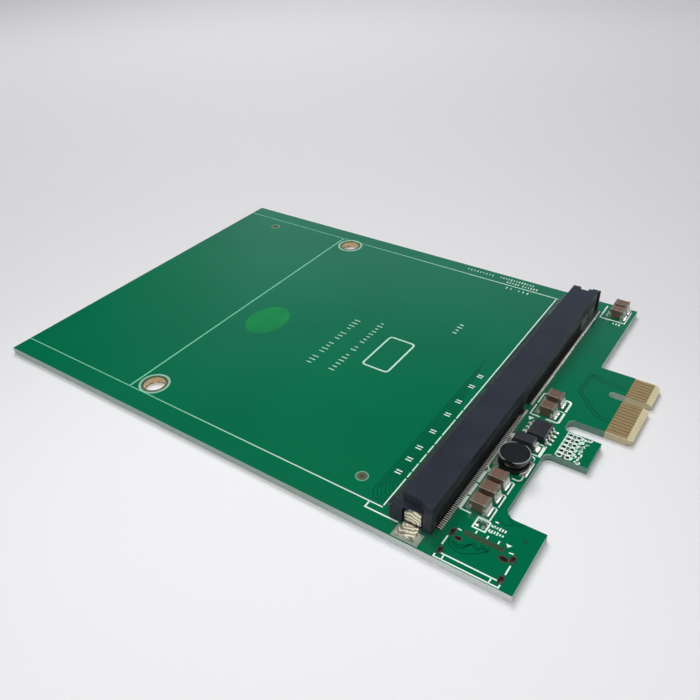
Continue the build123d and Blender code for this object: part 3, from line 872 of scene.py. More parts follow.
@cached
def board_material():
    """Board: glossy mask above and below, fibrous cut edges, plated hole walls and bare tongue end. By
    place, the near long edge is painted lighter towards the tongue and the cut-outs darker and greener."""
    board = settings("riser_board")
    material, tree = new_material("board")
    place = position(tree)
    x, y, _ = parts_of(tree, place)
    up = surface_normal(tree)[2]
    level = maths(tree, "ABSOLUTE", up)
    flat = maths(tree, "GREATER_THAN", level, 0.9)
    rim = times(tree, maths(tree, "GREATER_THAN", up, 0.2),
                maths(tree, "SUBTRACT", 1.0, flat))
    finger_low, finger_high = board_box("edge_contacts_top")
    _, board_high = board_box("circuit_board")
    tongue = inside_box(tree, (x, y), (finger_low.x - 0.01, finger_low.y - 0.9),
                        (board_high.x + 1, finger_high.y + 0.9))
    comb = inside_box(tree, (x, y), (finger_low.x - 0.01, finger_low.y - 0.1),
                      (finger_high.x, finger_high.y + 0.1))
    comb = times(tree, comb, flat)
    masked = times(tree, flat, maths(tree, "SUBTRACT", 1.0, tongue))

    centres, radius = holes()
    reach = radius + 0.3
    plated = 0.0
    for hole_x, hole_y in centres:
        wall = inside_box(tree, (x, y), (hole_x - reach, hole_y - reach), (hole_x + reach, hole_y + reach))
        plated = maths(tree, "MAXIMUM", plated, wall)
    slotted = 0.0
    for slot_x, slot_y in LEG_SLOTS:
        wall = inside_box(tree, (x, y), (slot_x - 0.6, slot_y - 1.0), (slot_x + 0.6, slot_y + 1.0))
        slotted = maths(tree, "MAXIMUM", slotted, wall)
    upright = maths(tree, "SUBTRACT", 1.0, maths(tree, "GREATER_THAN", level, 0.2))
    plated = times(tree, plated, upright)
    slotted = times(tree, slotted, upright)

    mask = use_group(tree, mask_group(), Colour=rgba(board.mask_colour))
    grain = use_group(tree, grain_group(), Scale=2.4)
    plies = node(tree, "ShaderNodeTexNoise", {
        "Vector": vector_maths(tree, "MULTIPLY", place, (0.5, 0.5, 3.4))[0],
        "Scale": 1.9, "Detail": 4.0, "Roughness": 0.75})
    ply_factor = spread(tree, plies.outputs[0], 0.35, 0.6, 0, 1)
    edge = blend(tree, ply_factor, scaled_colour(board.laminate_colour, 0.8),
                 scaled_colour(board.laminate_colour, 1.08))
    # Painted shade: the walls of the cut-outs beside the tongue, darker and greener.
    shaded_cutouts = inside_box(tree, (x, y), (CUT_START_X, 14.0), (board_high.x - 3, finger_low.y + 1.5))
    edge = blend(tree, shaded_cutouts, edge, blend(tree, ply_factor, tone(86, 120, 106), tone(114, 148, 132)))
    board_x, board_y, _ = parts_of(tree, board_position(tree))
    # Painted light: the near long edge, lighter towards the tongue.
    lit_near_edge = times(tree, spread(tree, board_y, 0.1, 0.3, 1, 0), spread(tree, board_x, 90, 112, 0, 0.85))
    edge = blend(tree, lit_near_edge, edge, blend(tree, ply_factor, tone(206, 214, 208), tone(246, 249, 247)))
    edge = blend(tree, rim, edge, tone(188, 222, 204))
    # Painted shade: faces that look down at the lower rim, in the mask's green painted much darker.
    edge = blend(tree, maths(tree, "LESS_THAN", up, -0.2), edge, tone(4, 40, 30))
    bare = blend(tree, grain["Value"], scaled_colour(board.bare_colour, 0.9),
                 scaled_colour(board.bare_colour, 1.08))
    gap = blend(tree, grain["Value"], tone(104, 84, 52), tone(128, 106, 70))
    wall = blend(tree, grain["Value"], tone(176, 146, 98), tone(236, 212, 162))
    slot_wall = blend(tree, grain["Value"], tone(34, 22, 16), tone(104, 66, 44))
    colour = blend(tree, tongue, edge, bare)
    colour = blend(tree, comb, colour, gap)
    colour = blend(tree, plated, colour, wall)
    colour = blend(tree, slotted, colour, slot_wall)
    colour = blend(tree, masked, colour, mask["Colour"])
    rough = blend(tree, masked, (0.6, 0.6, 0.6), (board.mask_roughness,) * 3)
    rough = blend(tree, plated, rough, (0.3, 0.3, 0.3))
    metallic = times(tree, plated, 0.4)
    height = blend(tree, masked, plies.outputs[0], mask["Height"])
    strength = spread(tree, masked, 0, 1, 0.6, 0.05)
    finish_material(tree, {"Base Color": colour, "Roughness": rough, "Metallic": metallic}, height, strength,
                    0.05)
    return material


def dress(node_name, material, bevel=0.0, segments=2):
    """Gives a CAD node its material, and rounds its edges by a small bevel."""
    obj = frame["nodes"][node_name]
    obj.data.materials.clear()
    obj.data.materials.append(material)
    if bevel:
        weld = obj.modifiers.new("weld", "WELD")
        weld.merge_threshold = 0.0005 * MM
        rounding = obj.modifiers.new("bevel", "BEVEL")
        rounding.width = bevel * MM
        rounding.segments = segments
        rounding.limit_method = "ANGLE"
        rounding.angle_limit = math.radians(35)
        rounding.harden_normals = True


# --- board ------------------------------------------------------------------------------------

# Widths of the printed lines.
LONG_LINE = 0.24
CROSS_LINE = 0.4
FINE_LINE = 0.3
HAIR_LINE = 0.2
BASE_LINE = 0.25
LEG_LINE = 0.27
MARK_LINE = 0.27
TAB_LINE = 0.4
FRAME_LINE = 0.42
CORNER_LINE = 0.45
THICK_LINE = 0.6


def arc(x, y, radius, start, end, steps=8):
    """Points on an arc, angles in degrees."""
    angles = [math.radians(start + (end - start) * index / steps) for index in range(steps + 1)]
    return [(x + radius * math.cos(a), y + radius * math.sin(a)) for a in angles]


DASH_STARTS = (5.3, 13.5, 15.4, 18.2, 21.3, 24.2, 27.2, 33.2, 36.6, 88.1)
DASH_GAP = 0.45


def print_paths():
    """Lines of the white print: (path, width, closed)."""
    lines = [
        ([(0.15, 4.84), (101.1, 4.84)], LONG_LINE, False),
        ([(0.15, 88.1), (101.5, 88.1)], LONG_LINE, False),
        ([(35.3, 4.84), (35.3, 88.1)], CROSS_LINE, False),
        ([(98.3, 4.6), (98.3, 3.3), (105.2, 3.3)], FINE_LINE, False),
    ]
    for start, end in zip(DASH_STARTS, DASH_STARTS[1:]):
        lines.append(([(101.0, start), (101.0, end - DASH_GAP)], LONG_LINE, False))
    for start in (12.1, 15.75, 19.45):
        lines.append(([(112.6, start), (112.6, start + 3.3)], THICK_LINE, False))
        lines.append(([(118.35, start), (118.35, start + 3.1)], FINE_LINE, False))
        lines.append(([(117.3, start + 3.2), (118.3, start + 3.2)], HAIR_LINE, False))
    lines += [
        ([(112.6, 12.0), (114.9, 12.0)], FINE_LINE, False),
        ([(116.2, 12.0), (118.5, 12.0)], FINE_LINE, False),
        ([(112.6, 22.95), (113.4, 23.3)], FINE_LINE, False),
        ([(112.95, 42.7), (112.95, 46.2)], FINE_LINE, False),
        ([(112.95, 46.8), (112.95, 50.3), (114.2, 51.0)], FINE_LINE, False),
        ([(112.95, 42.7), (115.0, 42.7)], FINE_LINE, False),
        ([(116.3, 42.7), (118.3, 42.7)] + arc(118.3, 43.3, 0.6, 270, 360) + [(118.9, 46.3)],
         CORNER_LINE, False),
        ([(117.6, 46.45), (118.7, 46.45)], BASE_LINE, False),
        ([(118.9, 46.8), (118.9, 49.6)] + arc(118.3, 49.8, 0.6, 0, 90) + [(117.6, 50.4)], CORNER_LINE, False),
        ([(113.0, 91.4), (113.0, 85.5), (118.9, 85.5), (118.9, 91.4)], FINE_LINE, False),
        ([(112.3, 31.65), (112.3, 34.95), (119.4, 34.95)], FINE_LINE, False),
        ([(112.3, 31.65), (119.2, 31.65)], FINE_LINE, False),
        ([(119.35, 31.5), (119.35, 35.1)], THICK_LINE, False),
        ([(112.2, 24.4), (112.8, 23.6), (113.6, 23.6)], FINE_LINE, False),
        ([(112.2, 24.4), (112.2, 30.2), (113.0, 31.0), (113.9, 31.0)], FINE_LINE, False),
        ([(117.4, 23.6), (118.3, 23.6)] + arc(118.3, 24.35, 0.75, 270, 360) + [(119.05, 30.3)]
         + arc(118.3, 30.25, 0.75, 0, 90), FINE_LINE, False),
        ([(116.4, 9.4), (118.75, 9.4), (118.75, 11.75), (116.4, 11.75)], FINE_LINE, True),
        ([(117.55, 8.3), (117.55, 9.0)], LEG_LINE, False),
        ([(119.65, 8.3), (119.65, 9.0)], LEG_LINE, False),
        ([(121.7, 8.3), (121.7, 9.0)], LEG_LINE, False),
        ([(114.5, 7.7), (115.3, 7.6)], LEG_LINE, False),
        ([(124.0, 7.6), (124.8, 7.7)], LEG_LINE, False),
        ([(113.8, 5.4), (113.8, 3.2)], LEG_LINE, False),
        ([(125.3, 5.3), (125.3, 3.2)], LEG_LINE, False),
        ([(113.75, 0.95), (113.75, 0.3), (125.4, 0.3), (125.4, 1.0)], LEG_LINE, False),
        ([(114.4, 1.5), (124.7, 1.5)], LEG_LINE, False),
        ([(115.2, 0.3), (115.2, 1.5)], LEG_LINE, False),
        ([(123.7, 0.3), (123.7, 1.5)], LEG_LINE, False),
        ([(121.75, 33.9), (121.75, 41.3)], TAB_LINE, False),
        (rounded(74.2, 80.8, 38.9, 51.4, 0.8), FRAME_LINE, True),
    ]
    return lines


TICK_SIZES = (0.6, 0.8, 1.0)
TICK_GROUP_GAP = 0.8
# Rows of bars: x, y, bars in each group, height, direction and pitch.
TICK_ROWS = [
    (63.6, 33.0, (3, 4, 3, 4), 1.7, "y", 1.3),
    (69.6, 33.4, (6, 2, 8), 1.5, "y", 1.3),
    (86.2, 60.8, (4,), 1.3, "y", 1.3),
    (119.6, 9.9, (3,), 0.8, "y", 1.3),
]
SMALL_TICK_ROWS = [
    (75.0, 90.7, (9,), 0.7, "x", 0.9),
    (84.5, 90.9, (13,), 0.9, "x", 0.75),
    (87.0, 89.4, (5, 6), 0.9, "x", 0.75),
    (88.0, 86.6, (2, 3), 1.0, "x", 1.2),
    (119.2, 11.35, (6,), 0.75, "x", 0.5),
    (119.2, 10.2, (6,), 0.75, "x", 0.5),
    (116.6, 84.3, (3,), 0.9, "x", 0.7),
]
BAR_PAIR_ROWS = (13.9, 17.9, 21.7, 27.2, 33.4, 38.3, 44.3, 48.5)
BAR_PAIR_START, BAR_PAIR_END, BAR_PAIR_HALF = 98.25, 99.55, 0.35
RESISTOR_DOTS = ((116.8, 10.2), (116.9, 11.1), (118.2, 10.2), (118.25, 11.1))


def ticks(shape, x, y, groups, height, along, pitch):
    """Row of plain bars in groups, where the board has small print."""
    top = settings("riser_board").print_height
    step = 0
    noise = random.Random(round(x * 10 + y))
    for count in groups:
        for _ in range(count):
            place = step * pitch
            size = height * noise.choice(TICK_SIZES)
            if along == "y":
                path = [(x - size / 2, y + place), (x + size / 2, y + place)]
            else:
                path = [(x + place, y - size / 2), (x + place, y + size / 2)]
            shape.stroke(path, MARK_LINE, SUNK, top)
            step += 1
        step += TICK_GROUP_GAP


def build_marks():
    """Plain bars and dots where the board carries small print."""
    shape = Shape()
    top = settings("riser_board").print_height
    for row in TICK_ROWS:
        ticks(shape, *row)
    for y in BAR_PAIR_ROWS:
        for offset in (-BAR_PAIR_HALF, BAR_PAIR_HALF):
            path = [(BAR_PAIR_START, y + offset), (BAR_PAIR_END, y + offset)]
            shape.stroke(path, MARK_LINE, SUNK, top)
    for row in SMALL_TICK_ROWS:
        ticks(shape, *row)
    for x, y in RESISTOR_DOTS:
        shape.dome(x, y, 0.3, 0.28, top, DOME_FOOT, steps=8, rows=2)
    return shape.build("print_marks", print_material(), "board")


TAB_COLUMNS = (122.35, 123.95)
TAB_PAD_X = 123.15
TAB_RING_ROWS = (33.9, 41.0)


def tab_rows():
    """Places along y of the small pads on the tab."""
    return [34.3 + 1.28 * index for index in range(6)]


def build_tab_print():
    """Dense print round the rows of small pads on the tab."""
    shape = Shape()
    top = settings("riser_board").print_height
    noise = random.Random(5)
    for y in tab_rows():
        for x in TAB_COLUMNS:
            shape.ring(x, y, 0.4, 0.66, SUNK, top, steps=16)
        shape.stroke([(122.7, y + 0.64), (123.5, y + 0.5)], 0.26, SUNK, top)
        shape.stroke([(124.55, y - 0.5), (124.8, y + 0.45)], 0.42, SUNK, top)
        for _ in range(5):
            x = noise.uniform(125.0, 126.1)
            start = y + noise.uniform(-0.6, 0.4)
            shape.stroke([(x, start), (x + noise.uniform(-0.35, 0.35), start + noise.uniform(0.35, 0.7))],
                         noise.uniform(0.22, 0.38), SUNK, top)
    for y in TAB_RING_ROWS:
        shape.ring(126.1, y, 0.22, 0.46, SUNK, top, steps=16)
    return shape.build("tab_print", print_material(), "board")


def build_tab_pads():
    """Small soldered pads between the print on the tab."""
    shape = Shape()
    for y in tab_rows():
        shape.dome(TAB_PAD_X, y, 0.36, 0.42, 0.08, DOME_FOOT, square=4, steps=12, rows=2)
    return shape.build("tab_pads", flux_material(), "gold")


def build_painted_shade_sheets():
    """Dark places: via holes on the tab, and bare laminate between the feet of the contacts."""
    shape = Shape()
    for y in tab_rows():
        for x in TAB_COLUMNS:
            shape.prism(flat_oval(x, y, 0.4, 0.36, 12), SUNK, 0.012)
    for node_name in ("upper_signal_contacts", "lower_signal_contacts"):
        boxes = islands(node_name)
        gaps = [b[0].y - a[1].y for a, b in zip(boxes, boxes[1:])]
        split = gaps.index(max(gaps)) + 1
        for field in (boxes[:split], boxes[split:]):
            start, end = field[0][0].y - 0.15, field[-1][1].y + 0.15
            if node_name.startswith("upper"):
                low_x, high_x = field[0][1].x - 1.1, field[0][1].x + 0.1
            else:
                low_x, high_x = field[0][0].x + 0.08, field[0][0].x + 1.0
            shape.prism([(low_x, start), (high_x, start), (high_x, end), (low_x, end)], SUNK, 0.006)
    for x, y, reach in PADS:
        shape.prism(flat_oval(x + 0.05, y, reach * 0.66, reach * 0.36, 14), SUNK, 0.034)
    shape.prism(flat_oval(*VIA, 0.3, 0.26, 12), SUNK, 0.01)
    return shape.build("dark_openings", painted_shade_material(), "board")


def build_print():
    """White print on the top face."""
    top = settings("riser_board").print_height
    shape = Shape()
    for path, width, closed in print_paths():
        shape.stroke(path, width, SUNK, top, closed)
    shape.prism([(122.8, 9.15), (123.35, 8.45), (123.95, 9.15)], SUNK, top)
    shape.prism([(113.0, 41.8), (113.6, 40.7), (114.2, 41.8)], SUNK, top)
    return shape.build("print_lines", print_material(), "board")


def track_paths():
    """Copper tracks that show through the mask."""
    tracks = []
    for index in range(8):
        x = 97.3 + index * 0.5
        bend = 6.0 + index * 0.6
        tracks.append([(x, 54.0 - index * 3.0), (x, bend + 1.6), (x + 1.0, bend), (101.4, bend)])
    tracks.append([(114.3, 5.2), (114.6, 3.9), (116.4, 3.1), (117.7, 3.3), (119.6, 4.5), (121.1, 6.1)])
    for index in range(1, 4):
        inset = 0.35 * index
        tracks.append([(114.6 + inset, 5.0), (114.9 + inset, 4.2 + inset / 3), (116.3, 3.35 + inset * 1.3),
                       (117.2, 3.7 + inset * 1.3), (117.9, 5.6 + inset / 3)])
    for x, y in ((118.4, 5.9), (119.3, 5.45), (119.85, 6.2), (120.6, 6.0)):
        tracks.append(arc(x, y, 0.32, 0, 360, 10))
    tracks += [
        [(119.0, 62.0), (118.5, 55.0), (124.0, 49.0), (127.4, 48.2)],
        [(119.6, 62.4), (119.1, 55.4), (124.4, 49.7), (127.4, 49.2)],
        [(119.0, 62.0), (122.0, 60.4), (127.2, 60.2)],
        [(119.6, 62.4), (122.4, 61.2), (127.2, 61.1)],
        [(119.5, 13.3), (121.0, 12.7), (122.2, 13.4)],
        [(120.6, 15.2), (121.4, 14.0), (123.0, 13.6), (124.0, 14.6)],
    ]
    return tracks


def build_tracks():
    """Tracks under the mask, as slightly raised darker lines."""
    shape = Shape()
    for path in track_paths():
        shape.stroke(path, 0.22, SUNK, 0.012)
    return shape.build("mask_tracks", track_material(), "board")


STAMP_PLACE, STAMP_REACH = (44.3, 41.7), (4.8, 6.4)


def build_stamp():
    """Round inspection stamp without a mark."""
    shape = Shape()
    shape.loft([oval(*STAMP_PLACE, *STAMP_REACH, z, 56) for z in (SUNK, 0.006)])
    return shape.build("stamp_oval", stamp_material(), "board")


FIDUCIALS = [(93.75, 9.27), (12.6, 84.0)]
VIA = (125.33, 11.08)
PADS = [(115.5, 5.8, 0.85), (123.75, 5.95, 1.1)]


def build_copper():
    """Bare copper: fiducial dots, rims of the leg slots, pads beside them and a via."""
    shape = Shape()
    for x, y in FIDUCIALS:
        shape.dome(x, y, 0.5, 0.5, 0.035, DOME_FOOT, steps=20)
    for x, y in LEG_SLOTS:
        outline = rounded(x - 0.5, x + 0.5, y - 0.95, y + 0.95, 0.49, 6)
        inner = rounded(x - 0.35, x + 0.35, y - 0.8, y + 0.8, 0.345, 6)
        loops = [[(px, py, SUNK) for px, py in outline], [(px, py, 0.03) for px, py in outline],
                 [(px, py, 0.03) for px, py in inner], [(px, py, -0.4) for px, py in inner]]
        shape.loft(loops, cap=False)
    for x, y, reach in PADS:
        shape.dome(x, y, reach, reach * 0.65, 0.03, DOME_FOOT, steps=20)
    shape.ring(*VIA, 0.07, 0.17, SUNK, 0.02, steps=16)
    return shape.build("bare_copper", copper_material(), "gold")


def build_openings():
    """Mask openings: round the screw holes and round the fiducials."""
    shape = Shape()
    centres, radius = holes()
    for x, y in centres:
        shape.ring(x, y, radius - 0.005, radius + 0.55, SUNK, 0.008)
    for x, y in FIDUCIALS:
        shape.ring(x, y, 0.45, 1.12, SUNK, 0.006, steps=32)
    return shape.build("mask_openings", bare_material(), "board")


def build_mask_rings():
    """Pale rings round the mask openings."""
    shape = Shape()
    centres, radius = holes()
    for x, y in centres:
        shape.ring(x, y, radius + 0.55, radius + 1.05, SUNK, 0.012)
    for x, y in FIDUCIALS:
        shape.ring(x, y, 1.12, 1.26, SUNK, 0.01, steps=32)
    return shape.build("mask_rings", ring_material(), "board")


def build_hole_rims():
    """Plated rims of the screw holes and pale rims of the fiducials."""
    shape = Shape()
    centres, radius = holes()
    for x, y in centres:
        shape.ring(x, y, radius - 0.03, radius + 0.08, -0.1, 0.02)
    return shape.build("hole_rims", copper_material(), "gold")


# --- connector --------------------------------------------------------------------------------

# The two fields of contacts lie on either side of this y.
FIELD_SPLIT = 41


def build_contact_solder():
    """Solder at the heel and along the foot of every contact of the slot."""
    shape = Shape()
    noise = random.Random(7)
    for low, high in islands("upper_signal_contacts"):
        y = (low.y + high.y) / 2
        size = noise.uniform(0.85, 1.15)
        if y < FIELD_SPLIT:
            shape.dome(high.x - 0.1, y, 0.26 * size, 0.15, 0.34 * size, SUNK, steps=10, rows=3)
        else:
            shape.dome(high.x - 0.14, y, 0.34 * size, 0.2, 0.32, SUNK, steps=10, rows=3)
    for low, high in islands("upper_power_contacts"):
        inside, outside = high.x - 0.3, high.x + 0.14
        shape.skirt(rounded(inside + 0.12, outside - 0.12, low.y, high.y, 0.05),
                    rounded(inside, outside, low.y - 0.05, high.y + 0.05, 0.1), 0.22, 0.6, 3)
    return shape.build("contact_solder", foot_solder_material(), "solder", jitter=0.012)


def build_front_solder():
    """Dark solder along the feet of the lower contacts, under the jaw's front."""
    shape = Shape()
    for low, high in islands("lower_signal_contacts"):
        shape.dome(low.x + 0.55, (low.y + high.y) / 2, 0.4, 0.14, 0.16, SUNK, square=2.6, steps=8, rows=3)
    return shape.build("front_solder", shade_painted_contact_material(), "solder", jitter=0.01)


def build_clip_solder():
    """Crescents of solder at the clips' feet."""
    shape = Shape()
    clips = islands("hold_down_clips")
    middle = sum(low.y for low, high in clips) / len(clips)
    for low, high in clips:
        near = low.y < middle
        foot_end = low.y if near else high.y
        out = -1 if near else 1
        width = high.x - low.x
        inner = rounded(low.x - 0.01, high.x + 0.01, low.y + 0.05, high.y - 0.05, 0.05, 3)
        outer = rounded(low.x - 0.1, high.x + 0.08, low.y - 0.06, high.y + 0.06, 0.12, 3)
        shape.skirt(inner, outer, 0.14, 1.8, 4, 0.06)
        for share, size in ((0.2, 0.85), (0.86, 0.9)):
            centre_x = low.x + width * share
            for side in range(9):
                turn = math.pi * side / 8
                shape.dome(centre_x - 0.72 * size * math.cos(turn),
                           foot_end + out * (0.1 + 0.42 * size * math.sin(turn)), 0.17 * size, 0.15 * size,
                           0.2 + 0.1 * math.sin(turn), 0.04, steps=10, rows=4)
    return shape.build("clip_solder", clip_material(), "solder")


# --- small parts ------------------------------------------------------------------------------

def end_fillets(shape, node_name, overhang, side, climb, axis="x"):
    """Solder fillets round the outer side of each terminal of a row of parts that lie along an axis."""
    along, across = (0, 1) if axis == "x" else (1, 0)
    boxes = islands(node_name)
    rows = {}
    for low, high in boxes:
        key = round((low[across] + high[across]) / 2, 1)
        rows.setdefault(key, []).append((low[along] + high[along]) / 2)
    for low, high in boxes:
        row = rows[round((low[across] + high[across]) / 2, 1)]
        out = 1 if (low[along] + high[along]) / 2 > sum(row) / len(row) else -1
        sides = [low.x - side, high.x + side, low.y - side, high.y + side]
        sides[2 * along + (1 if out > 0 else 0)] += out * (overhang - side)
        inner = rounded(low.x - 0.01, high.x + 0.01, low.y - 0.01, high.y + 0.01, 0.03)
        outer = rounded(*sides, min(0.25, overhang * 0.6))
        shape.skirt(inner, outer, climb, 2.4, 6)


def build_part_solder():
    """Solder joints of the small parts."""
    shape = Shape()
    for row in ("supply", "output", "corner"):
        end_fillets(shape, f"{row}_capacitor_ends", 0.75, 0.06, 1.25)
    end_fillets(shape, "resistor_ends", 0.3, 0.03, 0.26, axis="y")
    end_fillets(shape, "diode_terminals", 0.85, 0.12, 0.45)
    end_fillets(shape, "inductor_terminals", 0.3, 0.06, 0.4)
    end_fillets(shape, "regulator_leads", 0.3, 0.07, 0.16)
    return shape.build("part_solder", solder_material(), "solder", jitter=0.02)


def build_winding():
    """Turns of enamelled wire between the inductor's flanges."""
    low, high = board_box("inductor_winding")
    turns = settings("riser_parts").wire_turns
    x, y = (low.x + high.x) / 2, (low.y + high.y) / 2
    radius = (high.z - low.z) / turns / 2
    reach = (high.x - low.x) / 2 - radius
    shape = Shape()
    steps = 40
    loops = []
    for index in range(turns * steps + 1):
        angle = 2 * math.pi * index / steps
        z = low.z + radius + (high.z - low.z - 2 * radius) * index / (turns * steps)
        loop = []
        for side in range(8):
            around = -2 * math.pi * side / 8
            out = reach + radius * math.cos(around)
            loop.append((x + out * math.cos(angle), y + out * math.sin(angle), z + radius * math.sin(around)))
        loops.append(loop)
    shape.loft(loops)
    obj = shape.build("wire_turns", wire_material(), "winding", sharp=60)
    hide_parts("inductor_winding")


# --- stage ------------------------------------------------------------------------------------

# Place in millimetres of the row frame, and the directions of its axes.
CAMERA_PLACE = (82.3625, -117.2474, 99.3748)
CAMERA_RIGHT = (0.82698823, 0.56150009, -0.02842724)
CAMERA_UP = (-0.30546582, 0.49119431, 0.81573205)
CAMERA_BACK = (0.47199692, -0.66591726, 0.577731)
FLOOR_FRONT, FLOOR_BACK, FLOOR_HALF_WIDTH = -600, 500, 900
SWEEP_RADIUS, BACKDROP_TOP = 250, 700
FLOOR_TURN = 35
# Place and size of each light, in metres.
KEY_LIGHT = ((-0.24, 0.24, 0.49), 0.3)
FILL_LIGHT = ((0.03, -0.06, 0.25), 0.2)
LIT_SPOT = (0.035, -0.075, 0)
# Share of the floor's colour by distance from LIT_SPOT, in metres.
FLOOR_SHADE = [(0, 1), (0.04, 0.985), (0.075, 0.935), (0.1, 0.87), (0.135, 0.79), (0.24, 0.74), (0.46, 0.82),
               (1, 0.84)]


def build_floor():
    """Pale sweep: floor that curves up into a backdrop, painted darker away from LIT_SPOT."""
    material, tree = new_material("floor")
    colour = settings("riser_stage").floor_colour
    grain = use_group(tree, grain_group(), Scale=0.05)
    place = node(tree, "ShaderNodeNewGeometry").outputs["Position"]
    away = vector_maths(tree, "DISTANCE", place, LIT_SPOT)["Value"]
    shade = node(tree, "ShaderNodeFloatCurve", {"Value": away})
    curve = shade.mapping.curves[0]
    while len(curve.points) < len(FLOOR_SHADE):
        curve.points.new(0.5, 0.5)
    for point, place in zip(curve.points, FLOOR_SHADE):
        point.location = place
    shade.mapping.update()
    base = blend(tree, grain["Value"], scaled_colour(colour, 0.985), scaled_colour(colour, 1.01))
    base = dimmed(tree, base, shade.outputs[0])
    finish_material(tree, {"Base Color": base, "Roughness": 0.9, "Specular IOR Level": 0.1})
    profile = [(FLOOR_FRONT, 0), (FLOOR_BACK, 0)]
    for angle in range(10, 91, 10):
        turn = math.radians(angle)
        profile.append((FLOOR_BACK + SWEEP_RADIUS * math.sin(turn), SWEEP_RADIUS * (1 - math.cos(turn))))
    profile.append((FLOOR_BACK + SWEEP_RADIUS, BACKDROP_TOP))
    points = []
    faces = []
    for index, (y, z) in enumerate(profile):
        points += [(side * FLOOR_HALF_WIDTH * MM, y * MM, z * MM) for side in (-1, 1)]
        if index:
            start = 2 * index
            faces.append((start - 2, start - 1, start + 1, start))
    mesh = bpy.data.meshes.new("floor_sweep")
    mesh.from_pydata(points, [], faces)
    mesh.polygons.foreach_set("use_smooth", [True] * len(mesh.polygons))
    mesh.materials.append(material)
    obj = add_object("floor_sweep", mesh)
    obj.rotation_euler.z = math.radians(FLOOR_TURN)
    obj.visible_glossy = False


def build_light(name, place, size, power):
    """Soft round light that shines on the card's middle and leaves no reflection of its own."""
    data = bpy.data.lights.new(name, "AREA")
    data.shape = "DISK"
    data.size = size
    data.energy = power
    obj = add_object(name, data)
    obj.location = place
    obj.rotation_euler = (-Vector(place)).to_track_quat("-Z", "Y").to_euler()
    obj.visible_glossy = False


# Colour of the reflected surroundings by height, from straight down to straight up.
SKY_STOPS = [
    (0.0, (0.82, 0.83, 0.86)), (0.25, (0.62, 0.65, 0.72)), (0.4, (0.4, 0.45, 0.58)),
    (0.5, (0.28, 0.34, 0.48)), (0.55, (0.17, 0.22, 0.33)), (0.6, (0.09, 0.12, 0.19)),
    (0.65, (0.03, 0.04, 0.065)), (0.72, (0.006, 0.008, 0.012)),
]
# Reflected windows: direction, cosine where the glow starts, cosine where it is full, and level.
WINDOWS = [
    ((-0.47, -0.58, 0.67), 0.94, 0.975, 9.0), ((0.58, 0.67, 0.47), 0.93, 0.985, 6.0),
    ((0.91, 0.1, 0.4), 0.95, 0.985, 6.0),
    ((-0.96, -0.07, 0.27), 0.95, 0.985, 9.0),
]


def build_world():
    """Surroundings: even for diffuse light, and for reflections a pale horizon under a dark room with four
    soft windows, set for one side of the card."""
    world = bpy.data.worlds.new("surroundings")
    bpy.context.scene.world = world
    world.use_nodes = True
    tree = world.node_tree
    tree.nodes.clear()
    direction = node(tree, "ShaderNodeTexCoord").outputs["Generated"]
    x, y, z = parts_of(tree, direction)
    ramp = node(tree, "ShaderNodeValToRGB", {0: z})
    elements = ramp.color_ramp.elements
    while len(elements) < len(SKY_STOPS):
        elements.new(0.5)
    for element, (place, colour) in zip(elements, SKY_STOPS):
        element.position = place
        element.color = (*colour, 1)
    left = maths(tree, "SUBTRACT", 1.0, spread(tree, x, -0.74, -0.6, 0, 1))
    behind = spread(tree, y, 0.1, 0.3, 0, 1)
    dim = times(tree, times(tree, left, behind), 0.93)
    sky = blend(tree, dim, ramp.outputs[0], (0.004, 0.005, 0.008))
    for place, start, end, level in WINDOWS:
        aim = vector_maths(tree, "DOT_PRODUCT", direction, Vector(place).normalized())["Value"]
        glow = spread(tree, aim, start, end, 0, level)
        glow = node(tree, "ShaderNodeCombineXYZ", {0: glow, 1: glow, 2: glow}).outputs[0]
        sky = blend(tree, 1.0, sky, glow, "ADD")
    path = node(tree, "ShaderNodeLightPath")
    soft = node(tree, "ShaderNodeBackground", {
        "Color": (0.97, 0.985, 1.0, 1), "Strength": settings("riser_stage").sky_level})
    sharp = node(tree, "ShaderNodeBackground", {"Color": sky, "Strength": 1.0})
    mix = node(tree, "ShaderNodeMixShader", {0: path.outputs["Is Glossy Ray"], 1: soft.outputs[0],
                                             2: sharp.outputs[0]})
    node(tree, "ShaderNodeOutputWorld", {"Surface": mix.outputs[0]})


def build_camera():
    """Camera low over the near right corner."""
    data = bpy.data.cameras.new("camera")
    data.lens = settings("riser_stage").lens
    data.sensor_width = 36
    data.clip_start = 0.005
    obj = add_object("camera", data)
    matrix = obj.matrix_world.copy()
    for row in range(3):
        matrix[row][0] = CAMERA_RIGHT[row]
        matrix[row][1] = CAMERA_UP[row]
        matrix[row][2] = CAMERA_BACK[row]
        matrix[row][3] = CAMERA_PLACE[row] * MM
    obj.matrix_world = matrix
    bpy.context.scene.camera = obj


# --- operators --------------------------------------------------------------------------------

class RISER_OT_board(bpy.types.Operator):
    """Finishes the board and adds its print, tracks, stamp and bare copper"""
    bl_idname = "riser.board"
    bl_label = "Board"

    def execute(self, context):
        dress("circuit_board", board_material(), 0.1)
        for build in (build_print, build_marks, build_tab_print, build_tab_pads, build_painted_shade_sheets,
                      build_tracks, build_stamp, build_openings, build_mask_rings, build_copper,
                      build_hole_rims):
            build()
        for name in ("edge_contacts_top", "edge_contacts_bottom"):
            dress(name, gold_material())
        dress("socket_pads", copper_material())
        return {"FINISHED"}


class RISER_OT_connector(bpy.types.Operator):
    """Finishes the slot connector, its contacts and clips, and solders them down"""
    bl_idname = "riser.connector"
    bl_label = "Slot connector"

    def execute(self, context):
        dress("slot_housing", housing_material(), 0.05)
        dress("upper_signal_contacts", lead_material())
        for name in ("lower_signal_contacts", "upper_power_contacts", "lower_power_contacts"):
            dress(name, shade_painted_contact_material())
        dress("hold_down_clips", clip_material(), 0.05)
        dress("hold_down_pads", pad_material())
        build_contact_solder()
        build_front_solder()
        build_clip_solder()
        return {"FINISHED"}


